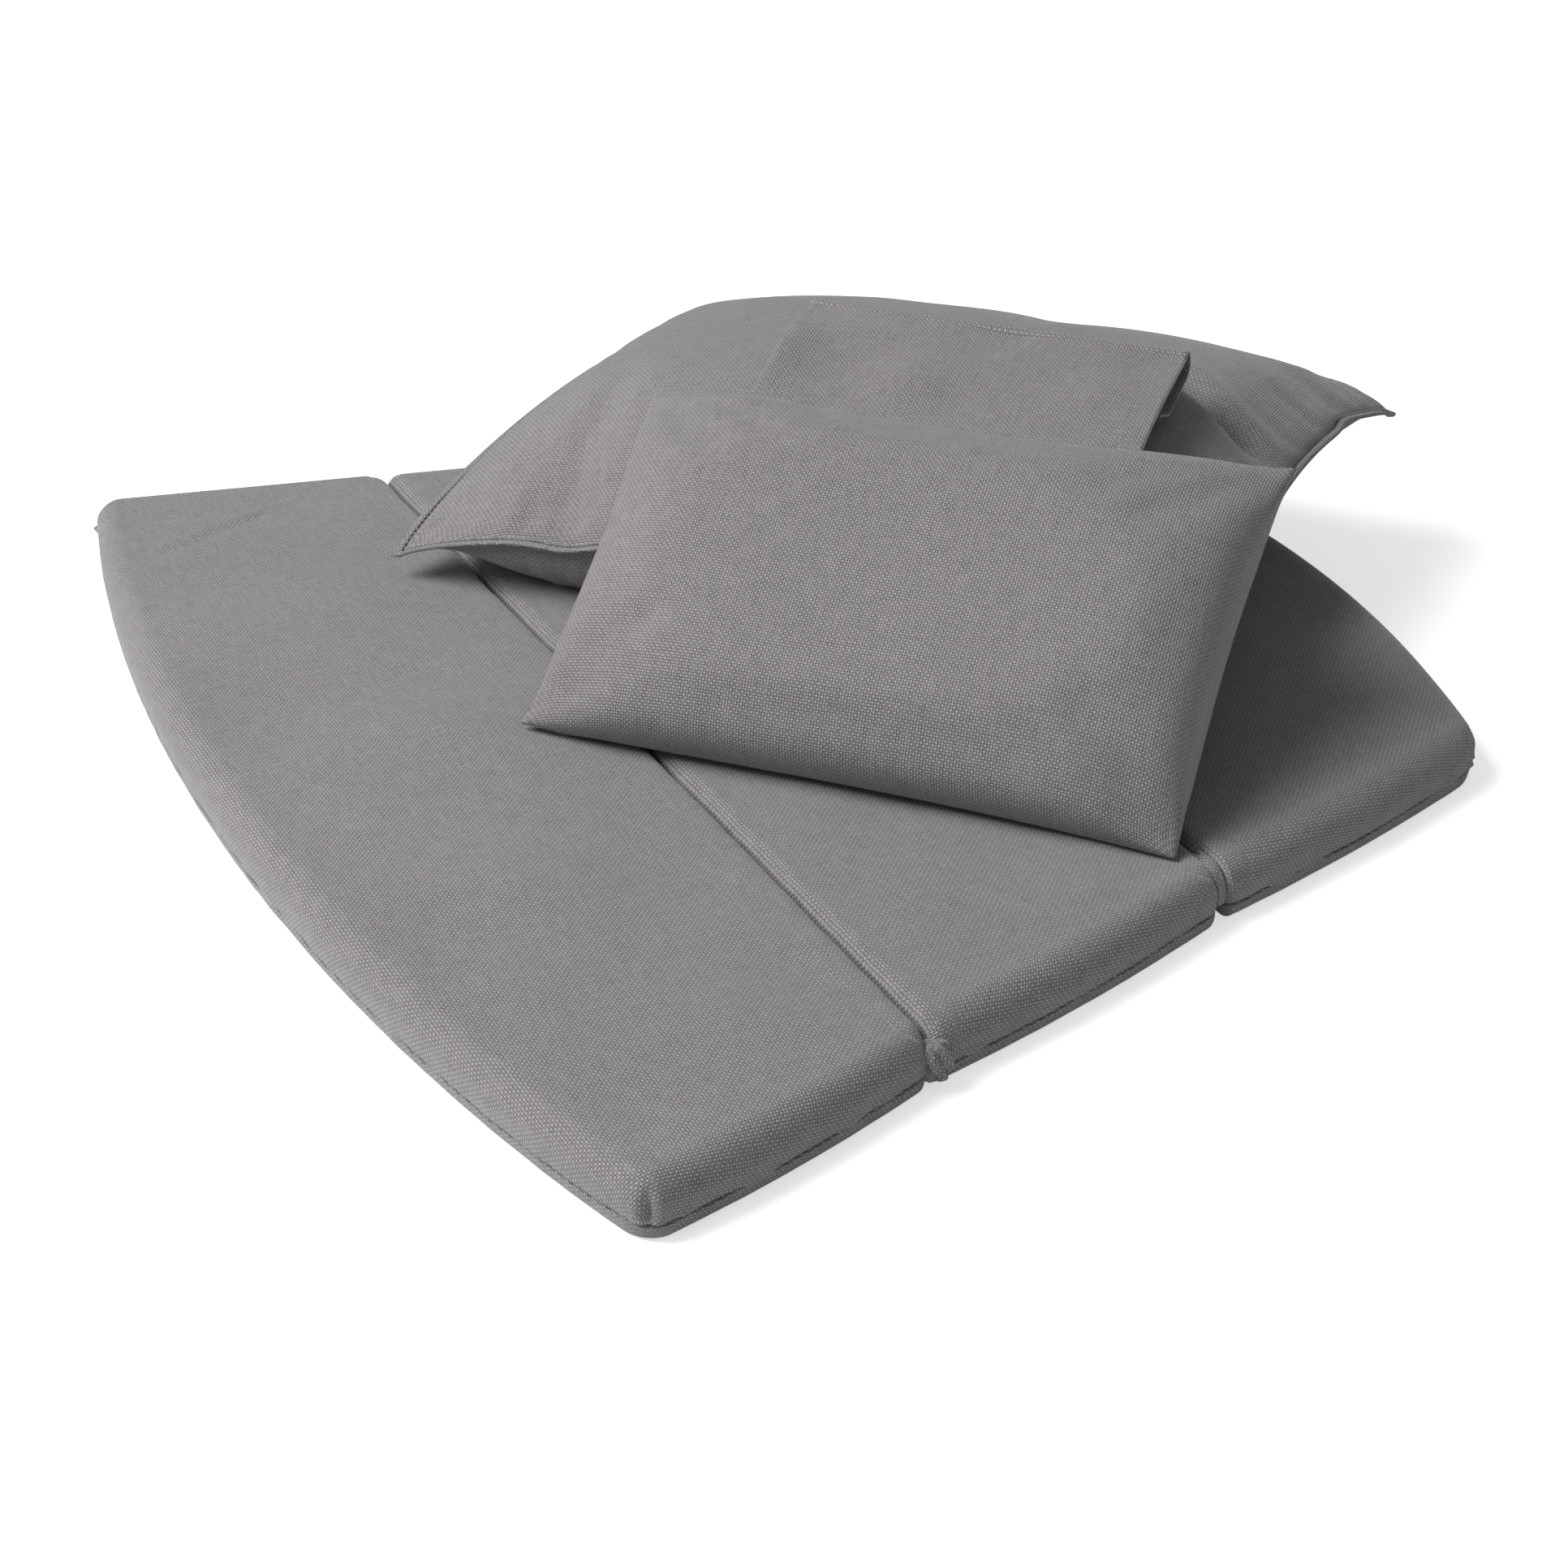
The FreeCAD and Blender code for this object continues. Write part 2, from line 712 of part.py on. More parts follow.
def flap_weight():
    """A flat bar that lies on the flap's returning layer, inside its fold."""
    floor = number["flap_cloth"] * 1.5 - number["flap_loop_radius"] * 2 + number["rest_gap"]
    start = (number["flap_width"] - number["weight_length"]) / 2
    corner = Vector(start, number["flap_upper"] - number["weight_width"], floor)
    bar = doc.addObject("Part::Box", "flap_weight_bar")
    bind(bar, Length=size["weight_length"], Width=size["weight_width"], Height=size["weight_thickness"])
    bar.Placement = flap_place().multiply(FreeCAD.Placement(corner, FreeCAD.Rotation()))
    keep(bar, "flap_weight")


def build():
    upper = above_seam()
    panel("front", front_outline, upper)
    panel("middle", middle_outline, upper)
    panel("back", back_outline, upper)
    fold_seam("front", -size["front_fold"])
    fold_seam("back", size["back_fold"])
    pad_zips()
    back_cushion()
    neck_pillow()
    flap()
    flap_weight()
    doc.recompute()


def check():
    """Stops if any object failed or any sub-part has no valid solid."""
    for obj in doc.Objects:
        if "Invalid" in obj.State or "Error" in obj.State:
            raise RuntimeError("%s failed: %s" % (obj.Name, obj.State))
    for obj in sub_parts:
        if obj.Shape.isNull() or not obj.Shape.isValid() or not obj.Shape.Solids:
            raise RuntimeError("%s has no valid solid" % obj.Label)


def write():
    os.makedirs("parts", exist_ok=True)
    for obj in sub_parts:
        obj.Shape.exportStep("parts/%s.step" % obj.Label)


build()
check()
write()
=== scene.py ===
"""Cushion set of a garden lounge chair: woven pad panels, a back cushion, a neck pillow and its flap.

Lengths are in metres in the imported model's frame: X runs across the pad's folds from the wide front edge
to the narrow back edge, Y along the folds, Z up from the floor.
"""
import json
import math
import bmesh
import bpy
import numpy as np
from bpy.props import FloatProperty, FloatVectorProperty, PointerProperty
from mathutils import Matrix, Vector


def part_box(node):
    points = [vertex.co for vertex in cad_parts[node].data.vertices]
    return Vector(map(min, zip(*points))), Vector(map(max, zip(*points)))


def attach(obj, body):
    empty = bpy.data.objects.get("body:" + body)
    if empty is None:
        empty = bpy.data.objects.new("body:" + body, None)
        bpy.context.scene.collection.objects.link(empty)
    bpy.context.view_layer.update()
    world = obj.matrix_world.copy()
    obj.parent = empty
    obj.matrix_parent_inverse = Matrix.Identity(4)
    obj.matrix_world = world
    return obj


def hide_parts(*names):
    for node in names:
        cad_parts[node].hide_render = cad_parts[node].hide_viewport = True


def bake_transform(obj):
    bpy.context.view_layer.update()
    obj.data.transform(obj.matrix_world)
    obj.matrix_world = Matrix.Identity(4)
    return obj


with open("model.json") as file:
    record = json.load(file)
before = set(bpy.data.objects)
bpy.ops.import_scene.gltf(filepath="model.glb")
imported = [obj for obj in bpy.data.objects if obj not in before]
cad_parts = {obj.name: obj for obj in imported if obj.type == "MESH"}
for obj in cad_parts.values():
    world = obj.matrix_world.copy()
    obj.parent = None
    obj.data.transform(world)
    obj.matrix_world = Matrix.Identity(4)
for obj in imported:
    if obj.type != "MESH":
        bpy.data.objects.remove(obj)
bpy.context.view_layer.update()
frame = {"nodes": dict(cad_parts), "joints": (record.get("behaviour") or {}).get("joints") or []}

bl_info = {
    "name": "Cushion Set Builder",
    "version": (1, 0, 0),
    "blender": (4, 5, 0),
    "location": "View3D > Sidebar > Cushions",
    "description": "Builds the soft pieces of a lounge chair cushion set and its studio stage",
    "category": "Add Mesh",
}

JOINTS = {joint["name"]: joint for joint in frame["joints"]}
SETTLED = {}
UP = np.array([0.0, 0.0, 1.0])
IN_PLAN = np.array([1.0, 1.0, 0.0])
QUARTER_TURN = np.pi / 2.0
FULL_TURN = np.pi * 2.0
WHITE = (1.0, 1.0, 1.0, 1.0)

# Counts of points on a panel: along its fold, across the folds, round a corner and up its seam
WIDE_POINTS = 260
DEEP_POINTS = 64
CORNER_POINTS = 17
SEAM_ROWS = 13

# Corners of each panel that are not at a fold, numbered anticlockwise from its back near one
OUTER_CORNERS = {"front": (2, 3), "middle": (), "back": (0, 1)}
SLACK_SEEDS = {"front": 11, "middle": 12, "back": 13}

# Room under the pad, rise of a panel's top to its middle, and room between the pad and what lies on it
FLOOR_GAP = 0.0002
PANEL_CROWN = 0.0012
REST_GAP = 0.0012

# Share of the scallop by which the near leg edge is drawn in at the folds
SCALLOP_INSET = 0.4

# Half length and half depth of the stuffed faces, and the share of them that counts as the edge
CUSHION_HALF = (0.285, 0.222)
PILLOW_HALF = (0.213, 0.135)
AT_EDGE = 0.9999

# How far a zip's teeth stand in front of the middle of its chain, and its tape behind it
ZIP_STAND = 0.0006

# Soft folds of the cloth: height, ends in plan or on the pillow's face, and width
FRONT_FOLDS = (
    (0.0012, (-0.375, 0.347), (-0.205, 0.400), 0.0045),
    (-0.0010, (-0.375, 0.338), (-0.205, 0.391), 0.0045),
)
CUSHION_FOLDS = (
    (-0.006, (-0.105, 0.150), (0.010, 0.250), 0.014),
    (0.003, (0.306, 0.050), (0.332, -0.075), 0.008),
    (-0.012, (0.290, 0.045), (0.314, -0.080), 0.008),
)
PILLOW_FOLDS = (
    (-0.0016, (-0.190, 0.120), (-0.120, 0.108), 0.006),
    (0.0012, (-0.160, 0.118), (-0.095, 0.122), 0.006),
)


def length(name, description, default):
    """Property for a length in metres."""
    return FloatProperty(name=name, description=description, default=default, unit="LENGTH", precision=4)


def turn(name, description, degrees):
    """Property for an angle, with its default in degrees."""
    return FloatProperty(name=name, description=description, default=math.radians(degrees), subtype="ANGLE")


def place(name, description, default):
    """Property for a point of the frame, in metres."""
    return FloatVectorProperty(
        name=name, description=description, default=default, subtype="XYZ", unit="LENGTH",
    )


def colour(name, description, default):
    """Property for a linear colour."""
    return FloatVectorProperty(
        name=name, description=description, default=default, subtype="COLOR", min=0.0, max=1.0,
    )


class PadSettings(bpy.types.PropertyGroup):
    depth: length("Depth", "From the front corners to the back corners", 0.686)
    front_half: length("Front half width", "Half the width between the front corners", 0.475)
    back_half: length("Back half width", "Half the width between the back corners", 0.287)
    front_bow: length("Front bow", "How far the front edge bows out of its corners", 0.065)
    back_bow: length("Back bow", "How far the back edge bows out of its corners", 0.055)
    front_fold: length("Front fold", "Place of the front crease along X", JOINTS["front_fold"]["pos_m"][0])
    back_fold: length("Back fold", "Place of the back crease along X", JOINTS["back_fold"]["pos_m"][0])
    crease_height: length("Crease height", "Height of the sewn crease", JOINTS["front_fold"]["pos_m"][2])
    gap: length("Fold gap", "Room between a panel and its crease", 0.0023)
    thickness: length("Thickness", "Height of the pad's top", 0.040)
    shoulder: length("Shoulder radius", "Roundness of the top edge", 0.019)
    corner: length("Corner radius", "Roundness of the outer corners in plan", 0.022)
    fold_corner: length("Fold corner radius", "Roundness of the corners at the folds in plan", 0.008)
    scallop: length("Scallop", "How far each panel's near leg edge swells between the folds", 0.005)
    seam_height: length("Seam height", "Height of the seam round the side", 0.0115)
    web: length("Web", "Width of the flat cloth between the panels at the back crease's near end", 0.009)


class CushionSettings(bpy.types.PropertyGroup):
    left: place("Left corner", "Raised left tip", (-0.191, 0.2405, 0.056))
    near: place("Near corner", "Corner under the neck pillow", (0.147, -0.245, 0.068))
    right: place("Right corner", "Raised right tip", (0.489, 0.024, 0.107))
    far: place("Far corner", "Corner behind the crown", (0.145, 0.477, 0.062))
    crown: length("Crown height", "Height of the top above the floor before it settles", 0.180)
    lift: length("Edge lift", "How far the edges rise between the corners", 0.043)
    draw_in: length("Draw-in", "How far the edges pull in between the corners", 0.012)
    flange: length("Flange", "Width of the stitched edge", 0.0055)


class PillowSettings(bpy.types.PropertyGroup):
    centre: place("Centre", "Middle of the pillow's seam", (0.020, -0.096, 0.1154))
    yaw: turn("Yaw", "Turn of its long side about Z", -48.0)
    tilt: turn("Tilt", "Lean back of its face from lying flat", 33.0)
    long_side: length("Length", "Along its long side", 0.427)
    short_side: length("Height", "Up its face", 0.271)
    swell: length("Swell", "How far each face stands out of the seam before it settles", 0.050)


class FlapSettings(bpy.types.PropertyGroup):
    width: length("Width", "Along the pillow's top seam", 0.268)
    upper: length("Upper layer", "From the seam to the turn", 0.126)
    close: length("Closing place", "Where the under layer meets the upper one, from the seam", 0.054)
    under: length("Under layer", "From the turn back to the hem", 0.070)
    loop: length("Loop radius", "Radius of the open turn", 0.008)
    tuck: length("Tuck", "Length sewn in behind the pillow's top seam", 0.012)
    bulge: length("Bulge", "How far the upper layer arches over the cushion", 0.003)
    slope: turn("Slope", "Rise of the upper layer from level", 11.0)


class ClothSettings(bpy.types.PropertyGroup):
    tone: colour("Cloth", "Mean colour of the woven cloth", (0.262, 0.252, 0.248))
    thread: colour("Thread", "Sewing thread", (0.115, 0.110, 0.107))
    yarn: length("Yarn pitch", "Width of one yarn of the weave", 0.0019)
    zip_tone: colour("Zip", "Moulded zip", (0.060, 0.058, 0.057))


class StageSettings(bpy.types.PropertyGroup):
    eye: place("Camera", "Place of the camera", (-0.8791, -1.6548, 1.0417))
    aim: place("Aim", "Point the camera looks at", (-0.081, -0.1255, 0.030))
    lens: FloatProperty(
        name="Lens", description="Focal length in millimetres", default=72.97, unit="CAMERA",
    )
    floor_tone: colour("Floor", "Pale studio floor", (0.93, 0.93, 0.93))


def settings(name):
    """The scene's group of settings with that name."""
    return getattr(bpy.context.scene, "cushions_" + name)


# Shape functions


def ease(value):
    """Smooth step from 0 to 1: 3t^2 - 2t^3, flat outside."""
    held = np.clip(value, 0.0, 1.0)
    return held * held * (3.0 - 2.0 * held)


def bell(value, width):
    """Smooth bump: exp(-(t / width)^2)."""
    return np.exp(-((value / width) ** 2))


def dome(value, steepness, power):
    """Round hump from -1 to 1: (1 - |t|^steepness)^power."""
    return np.clip(1.0 - np.abs(value) ** steepness, 0.0, 1.0) ** power


def unit(vectors):
    """Vectors brought to length one."""
    return vectors / np.linalg.norm(vectors, axis=-1, keepdims=True)


def run_along(line):
    """Length along a line of points, up to each of them."""
    return np.concatenate([[0.0], np.cumsum(np.linalg.norm(np.diff(line, axis=0), axis=-1))])


def sway(along, seed, longest, shortest, count=10):
    """Irregular smooth curve of a length: a sum of sines with seeded phases, with a spread of about one."""
    random = np.random.default_rng(seed)
    waves = np.geomspace(longest, shortest, count)
    phases = random.uniform(0.0, FULL_TURN, count)
    turns = FULL_TURN * np.asarray(along)[..., None] / waves + phases
    return np.sin(turns).sum(-1) / math.sqrt(count / 2.0)


def ripple(x, y, seed, longest, shortest, count=16):
    """Irregular smooth surface: a sum of plane sine waves with seeded directions and phases."""
    random = np.random.default_rng(seed)
    waves = np.geomspace(longest, shortest, count)
    phases = random.uniform(0.0, FULL_TURN, count)
    angles = random.uniform(0.0, np.pi, count)
    run = np.asarray(x)[..., None] * np.cos(angles) + np.asarray(y)[..., None] * np.sin(angles)
    return np.sin(FULL_TURN * run / waves + phases).sum(-1) / math.sqrt(count / 2.0)


def soft_folds(x, y, folds):
    """Height of a table of folds: each a bell across its line, faded towards both ends."""
    total = 0.0
    fade = 0.3
    for height, start, end, width in folds:
        reach = math.dist(start, end)
        run = [(last - first) / reach for first, last in zip(start, end)]
        along = ((x - start[0]) * run[0] + (y - start[1]) * run[1]) / reach
        off = (y - start[1]) * run[0] - (x - start[0]) * run[1]
        total = total + height * bell(off, width) * ease(along / fade) * ease((1.0 - along) / fade)
    return total


def grid_quads(index):
    """Quads between the numbers of a grid of points."""
    return np.stack([index[:-1, :-1], index[1:, :-1], index[1:, 1:], index[:-1, 1:]], -1).reshape(-1, 4)


def border(index):
    """Numbers of the points round the border of a grid, each once."""
    return np.concatenate([index[:-1, 0], index[-1, :-1], index[:0:-1, -1], index[0, :0:-1]])


def grid_mesh(name, points, faces, uv=None):
    """Smooth mesh object from points, quads and a cloth map in metres, with coincident points merged."""
    mesh = bpy.data.meshes.new(name)
    mesh.from_pydata(points.tolist(), [], faces.tolist())
    if uv is not None:
        layer = mesh.uv_layers.new(name="cloth")
        corner = np.empty(len(mesh.loops), np.int32)
        mesh.loops.foreach_get("vertex_index", corner)
        layer.data.foreach_set("uv", uv[corner].astype(np.float32).ravel())
    form = bmesh.new()
    form.from_mesh(mesh)
    bmesh.ops.remove_doubles(form, verts=form.verts, dist=1e-6)
    bmesh.ops.recalc_face_normals(form, faces=form.faces)
    form.to_mesh(mesh)
    form.free()
    mesh.shade_smooth()
    piece = bpy.data.objects.new(name, mesh)
    bpy.context.scene.collection.objects.link(piece)
    return piece


def wall_mesh(name, rows, uv=None, closed=True):
    """Mesh of a grid of points with shape (rows, around, 3), closed round its second direction or open.

    A closed grid whose first and last rows collapse is watertight.
    """
    count, around = rows.shape[:2]
    wide = around if closed else around - 1
    start = np.arange(count - 1)[:, None] * around
    here = np.arange(wide)[None, :]
    there = (here + 1) % around
    faces = np.stack([start + here, start + there, start + around + there, start + around + here], -1)
    flat_uv = None if uv is None else uv.reshape(-1, 2)
    return grid_mesh(name, rows.reshape(-1, 3), faces.reshape(-1, 4), flat_uv)


def paint(mesh, material):
    """Gives a mesh one material."""
    mesh.materials.clear()
    mesh.materials.append(material)


def thicken(piece, thickness, offset):
    """Gives a sheet the thickness of its cloth."""
    solid = piece.modifiers.new("cloth_thickness", "SOLIDIFY")
    solid.thickness = thickness
    solid.offset = offset


def dress(piece, body, material, nodes=()):
    """Gives a piece its material and body, and hides the solids that it stands for."""
    paint(piece.data, material)
    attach(piece, body)
    if nodes:
        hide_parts(*nodes)
    return piece


# Materials


class Nodes:
    """Short forms for wiring a shader tree."""

    def __init__(self, name):
        self.material = bpy.data.materials.get(name) or bpy.data.materials.new(name)
        self.material.use_nodes = True
        self.tree = self.material.node_tree
        self.tree.nodes.clear()
        self.shader = self.tree.nodes.new("ShaderNodeBsdfPrincipled")
        output = self.tree.nodes.new("ShaderNodeOutputMaterial")
        self.tree.links.new(self.shader.outputs[0], output.inputs[0])

    def feed(self, node, values):
        """Sets the sockets of a node to numbers, or links other nodes' outputs to them."""
        for socket, value in values.items():
            if isinstance(value, bpy.types.NodeSocket):
                self.tree.links.new(value, node.inputs[socket])
            else:
                node.inputs[socket].default_value = value

    def node(self, kind, values, **options):
        made = self.tree.nodes.new("ShaderNode" + kind)
        for key, value in options.items():
            setattr(made, key, value)
        self.feed(made, values)
        return made

    def surface(self, values):
        self.feed(self.shader, values)

    def object_place(self):
        return self.node("TexCoord", {}).outputs["Object"]

    def cloth_place(self):
        return self.node("UVMap", {}, uv_map="cloth").outputs[0]

    def split(self, vector):
        outputs = self.node("SeparateXYZ", {0: vector}).outputs
        return outputs[0], outputs[1]

    def math(self, operation, *values):
        return self.node("Math", dict(enumerate(values)), operation=operation).outputs[0]

    def scaled(self, value, gain, offset):
        return self.math("MULTIPLY_ADD", value, gain, offset)

    def mix(self, factor, first, second):
        sockets = {"Factor": factor, "A": first, "B": second}
        return self.node("Mix", sockets, data_type="FLOAT").outputs["Result"]

    def tint(self, factor, low, high):
        sockets = {"Factor": factor, 6: (*low, 1.0), 7: (*high, 1.0)}
        return self.node("Mix", sockets, data_type="RGBA").outputs[2]

    def noise(self, vector, scale, detail):
        return self.node("TexNoise", {"Vector": vector, "Scale": scale, "Detail": detail}).outputs["Fac"]

    def bump(self, height, distance, strength):
        made = self.node("Bump", {"Strength": strength, "Distance": distance, "Height": height})
        self.surface({"Normal": made.outputs[0]})


def woven_cloth():
    """Plain weave of heathered yarns on the cloth map, with fuzz, slubs and a faint soiling.

    Each cell of the weave shows the warp or the weft by the parity of its place, and its yarn's height is
    a cosine across the yarn times a flatter cosine along it. That height also goes into the colour as
    painted
    shade: lighter on the yarns' crowns, darker in the dips between them.
    """
    cloth = settings("cloth")
    nodes = Nodes("woven_grey_cloth")
    round_yarn, flat_yarn = 2.9, 1.9
    to_yarns = {0: nodes.cloth_place(), "Scale": 1.0 / cloth.yarn}
    weave = nodes.node("VectorMath", to_yarns, operation="SCALE").outputs[0]
    x, y = nodes.split(weave)
    cell = nodes.math("ADD", nodes.math("FLOOR", x), nodes.math("FLOOR", y))
    parity = nodes.math("ABSOLUTE", nodes.math("MODULO", cell, 2.0))
    across = [nodes.math("SUBTRACT", nodes.math("FRACT", value), 0.5) for value in (x, y)]
    full = [nodes.math("COSINE", nodes.math("MULTIPLY", value, round_yarn)) for value in across]
    flat = [nodes.math("COSINE", nodes.math("MULTIPLY", value, flat_yarn)) for value in across]
    warp = nodes.math("MULTIPLY", full[0], flat[1])
    weft = nodes.math("MULTIPLY", full[1], flat[0])
    height = nodes.mix(parity, warp, weft)
    strands = []
    for stretch in ((1.0, 0.12, 1.0), (0.12, 1.0, 1.0)):
        longer = nodes.node("VectorMath", {0: weave, 1: stretch}, operation="MULTIPLY")
        strands.append(nodes.noise(longer.outputs[0], 0.9, 3.0))
    heather = nodes.mix(parity, *strands)
    spot = nodes.object_place()
    patch = nodes.noise(spot, 7.0, 4.0)
    fuzz = nodes.noise(spot, 900.0, 2.0)
    light = nodes.scaled(parity, 0.6, -0.3)
    # The yarn's height goes into the colour as painted shade, lighter on the crowns and darker between the
    # yarns; parity, heather, patch and fuzz are the cloth's own tone.
    for part in ((height, 1.7, -0.98), (heather, 1.5, -0.75), (patch, 0.25, -0.125), (fuzz, 0.3, -0.15)):
        light = nodes.math("ADD", light, nodes.scaled(*part))
    tone = np.array(cloth.tone)
    nodes.surface({
        "Base Color": nodes.tint(nodes.scaled(light, 0.5, 0.5), tone * 0.34, np.minimum(tone * 1.66, 1.0)),
        "Roughness": 0.92,
        "Specular IOR Level": 0.18,
        "Sheen Weight": 0.42,
        "Sheen Roughness": 0.38,
    })
    nodes.bump(nodes.math("ADD", height, nodes.math("MULTIPLY", fuzz, 0.5)), 0.0007, 0.6)
    return nodes.material


def sewing_thread():
    """Twisted sewing thread: fine diagonal bands on a dark strand."""
    nodes = Nodes("sewing_thread")
    tone = np.array(settings("cloth").thread)
    twist = {"Vector": nodes.object_place(), "Scale": 900.0, "Distortion": 1.5}
    wave = nodes.node("TexWave", twist, wave_type="BANDS", bands_direction="DIAGONAL").outputs["Fac"]
    nodes.surface({"Base Color": nodes.tint(wave, tone * 0.7, tone * 1.35), "Roughness": 0.7})
    nodes.bump(wave, 0.0002, 0.4)
    return nodes.material


def moulded_zip():
    """Dark moulded zip: a soft mottle with rubbed lighter spots."""
    nodes = Nodes("moulded_zip")
    tone = np.array(settings("cloth").zip_tone)
    mottle = nodes.noise(nodes.object_place(), 260.0, 4.0)
    nodes.surface({
        "Base Color": nodes.tint(mottle, tone * 0.7, tone * 1.5),
        "Roughness": nodes.scaled(mottle, 0.25, 0.32),
    })
    nodes.bump(mottle, 0.0001, 0.3)
    return nodes.material


def zip_cloth():
    """Herringbone zip tape: fine slanted ribs that turn at the middle."""
    nodes = Nodes("zip_tape")
    tone = np.array(settings("cloth").zip_tone)
    x, y = nodes.split(nodes.cloth_place())
    slant = nodes.math("ADD", x, nodes.math("ABSOLUTE", y))
    rib = nodes.math("SINE", nodes.math("MULTIPLY", slant, 7000.0))
    shade = nodes.tint(nodes.scaled(rib, 0.5, 0.5), tone, tone * 1.9)
    nodes.surface({"Base Color": shade, "Roughness": 0.85})
    nodes.bump(rib, 0.0001, 0.4)
    return nodes.material


def rolled_steel():
    """Rolled steel bar: long drawn streaks along its length."""
    nodes = Nodes("rolled_steel")
    drawn = {
        "Vector": nodes.object_place(),
        "Rotation": (0.0, 0.0, math.radians(48.0)),
        "Scale": (6.0, 400.0, 400.0),
    }
    streak = nodes.noise(nodes.node("Mapping", drawn).outputs[0], 1.0, 5.0)
    nodes.surface({
        "Base Color": nodes.tint(streak, (0.34, 0.34, 0.35), (0.52, 0.52, 0.53)),
        "Roughness": nodes.scaled(streak, 0.2, 0.3),
        "Metallic": 1.0,
    })
    return nodes.material


def pale_floor(tone):
    """Matte floor with a faint grain, which glows a little to the camera so that it reads as white."""
    nodes = Nodes("pale_floor")
    glow = 0.60
    grain = nodes.noise(nodes.object_place(), 3.0, 3.0)
    ray = nodes.node("LightPath", {}).outputs
    direct = nodes.math("MAXIMUM", ray["Is Camera Ray"], ray["Is Glossy Ray"])
    nodes.surface({
        "Base Color": nodes.tint(grain, tone * 0.985, tone),
        "Roughness": 0.8,
        "Emission Color": WHITE,
        "Emission Strength": nodes.math("MULTIPLY", direct, glow),
    })
    return nodes.material


# Pad panels


def round_outline(radii):
    """Unit terms of a rounded rectangle, anticlockwise from its (+, -) corner, and each point's radius.

    With half sizes A, B and radius r a point is (sa (A - r) + r ca, sb (B - r) + r cb).
    """
    terms = []
    signs = [(1, -1), (1, 1), (-1, 1), (-1, -1)]
    for index, (sa, sb) in enumerate(signs):
        turned = np.radians(np.linspace(-90.0, 0.0, CORNER_POINTS) + 90.0 * index)
        ones = np.ones(CORNER_POINTS)
        terms.append([sa * ones, sb * ones, np.cos(turned), np.sin(turned), radii[index] * ones])
        following = (index + 1) % 4
        na, nb = signs[following]
        count = DEEP_POINTS if index % 2 else WIDE_POINTS
        run = np.linspace(0.0, 1.0, count + 2)[1:-1]
        normal = np.radians(90.0 * index)
        ones = np.ones(count)
        radius = radii[index] + (radii[following] - radii[index]) * run
        terms.append([
            sa + (na - sa) * run, sb + (nb - sb) * run, ones * np.cos(normal), ones * np.sin(normal), radius,
        ])
    return np.concatenate([np.stack(term) for term in terms], 1)


def side_profile(pad, half_depth):
    """Rows of a panel from the middle of its underside to the middle of its top.

    Underside, a quarter ellipse roll, the seam that the top cover hangs over, side wall, quarter circle
    shoulder and a faintly crowned top. Gives each row's inset, height and share of the seam's depth, and
    the number of the seam's first row.
    """
    top, radius, seam = pad.thickness - PANEL_CROWN, pad.shoulder, pad.seam_height
    under_edge, roll_edge, roll_width = 0.0075, 0.0068, 0.0062
    seam_half, overhang, above_seam, below_seam = 0.0022, 0.0003, 0.0030, 0.0032
    under = np.linspace(half_depth, under_edge, 9)
    roll = np.linspace(0.0, QUARTER_TURN, 9)
    groove = np.linspace(-1.0, 1.0, SEAM_ROWS)
    wall = np.linspace(seam + above_seam, top - radius, 6)[:-1]
    bend = np.linspace(0.0, QUARTER_TURN, 17)
    over = np.linspace(radius, half_depth, 31)[1:]
    stretches = [
        (under, np.full(len(under), FLOOR_GAP)),
        (roll_edge - roll_width * np.sin(roll), FLOOR_GAP + (seam - below_seam) * (1.0 - np.cos(roll))),
        (overhang * (1.0 - groove), seam + groove * seam_half),
        (np.zeros(len(wall)), wall),
        (radius * (1.0 - np.cos(bend)), top - radius + radius * np.sin(bend)),
        (over, top + PANEL_CROWN * ease((over - radius) / (half_depth - radius))),
    ]
    inset, height = (np.concatenate(column) for column in zip(*stretches))
    first = len(under) + len(roll)
    depth = np.zeros(len(inset))
    depth[first:first + SEAM_ROWS] = bell(groove - 0.05, 0.36)
    return inset, height, depth, first


def leg_half(pad, x):
    """Half the pad's width at a place along X: straight legs between the front and back corners."""
    return pad.front_half + (pad.back_half - pad.front_half) * (x + pad.depth / 2.0) / pad.depth


def panel_ends(pad, name, bow):
    """Places along X of a panel's front and back edges, where outer edges bow out by a share."""
    ends = {
        "front": (-pad.depth / 2.0 - pad.front_bow * bow, pad.front_fold - pad.gap),
        "middle": (pad.front_fold + pad.gap, pad.back_fold - pad.gap),
        "back": (pad.back_fold + pad.gap, pad.depth / 2.0 + pad.back_bow * bow),
    }
    return ends[name]


def panel_plan(pad, name, a, b, half_depth, half_width):
    """Plan place of a point of the flat rectangle, stretched to the bowed edges and the scalloped leg."""
    bow = 1.0 - np.clip(b / half_width, -1.0, 1.0) ** 2
    front, back = panel_ends(pad, name, bow)
    along = (a / half_depth + 1.0) / 2.0
    x = front + (back - front) * along
    y = b * leg_half(pad, x) / half_width
    near = np.clip(-b / half_width, 0.0, 1.0) ** 4
    return x, y - near * (pad.scallop * 4.0 * along * (1.0 - along) - pad.scallop * SCALLOP_INSET)


def panel_folds(name, x, y):
    """Height of the slack in a panel's top cloth: long soft waves and, in front, folds by the far corner."""
    slack_height = 0.0009
    slack = slack_height * ripple(x, y, SLACK_SEEDS[name], 0.34, 0.09)
    return slack + soft_folds(x, y, FRONT_FOLDS) if name == "front" else slack


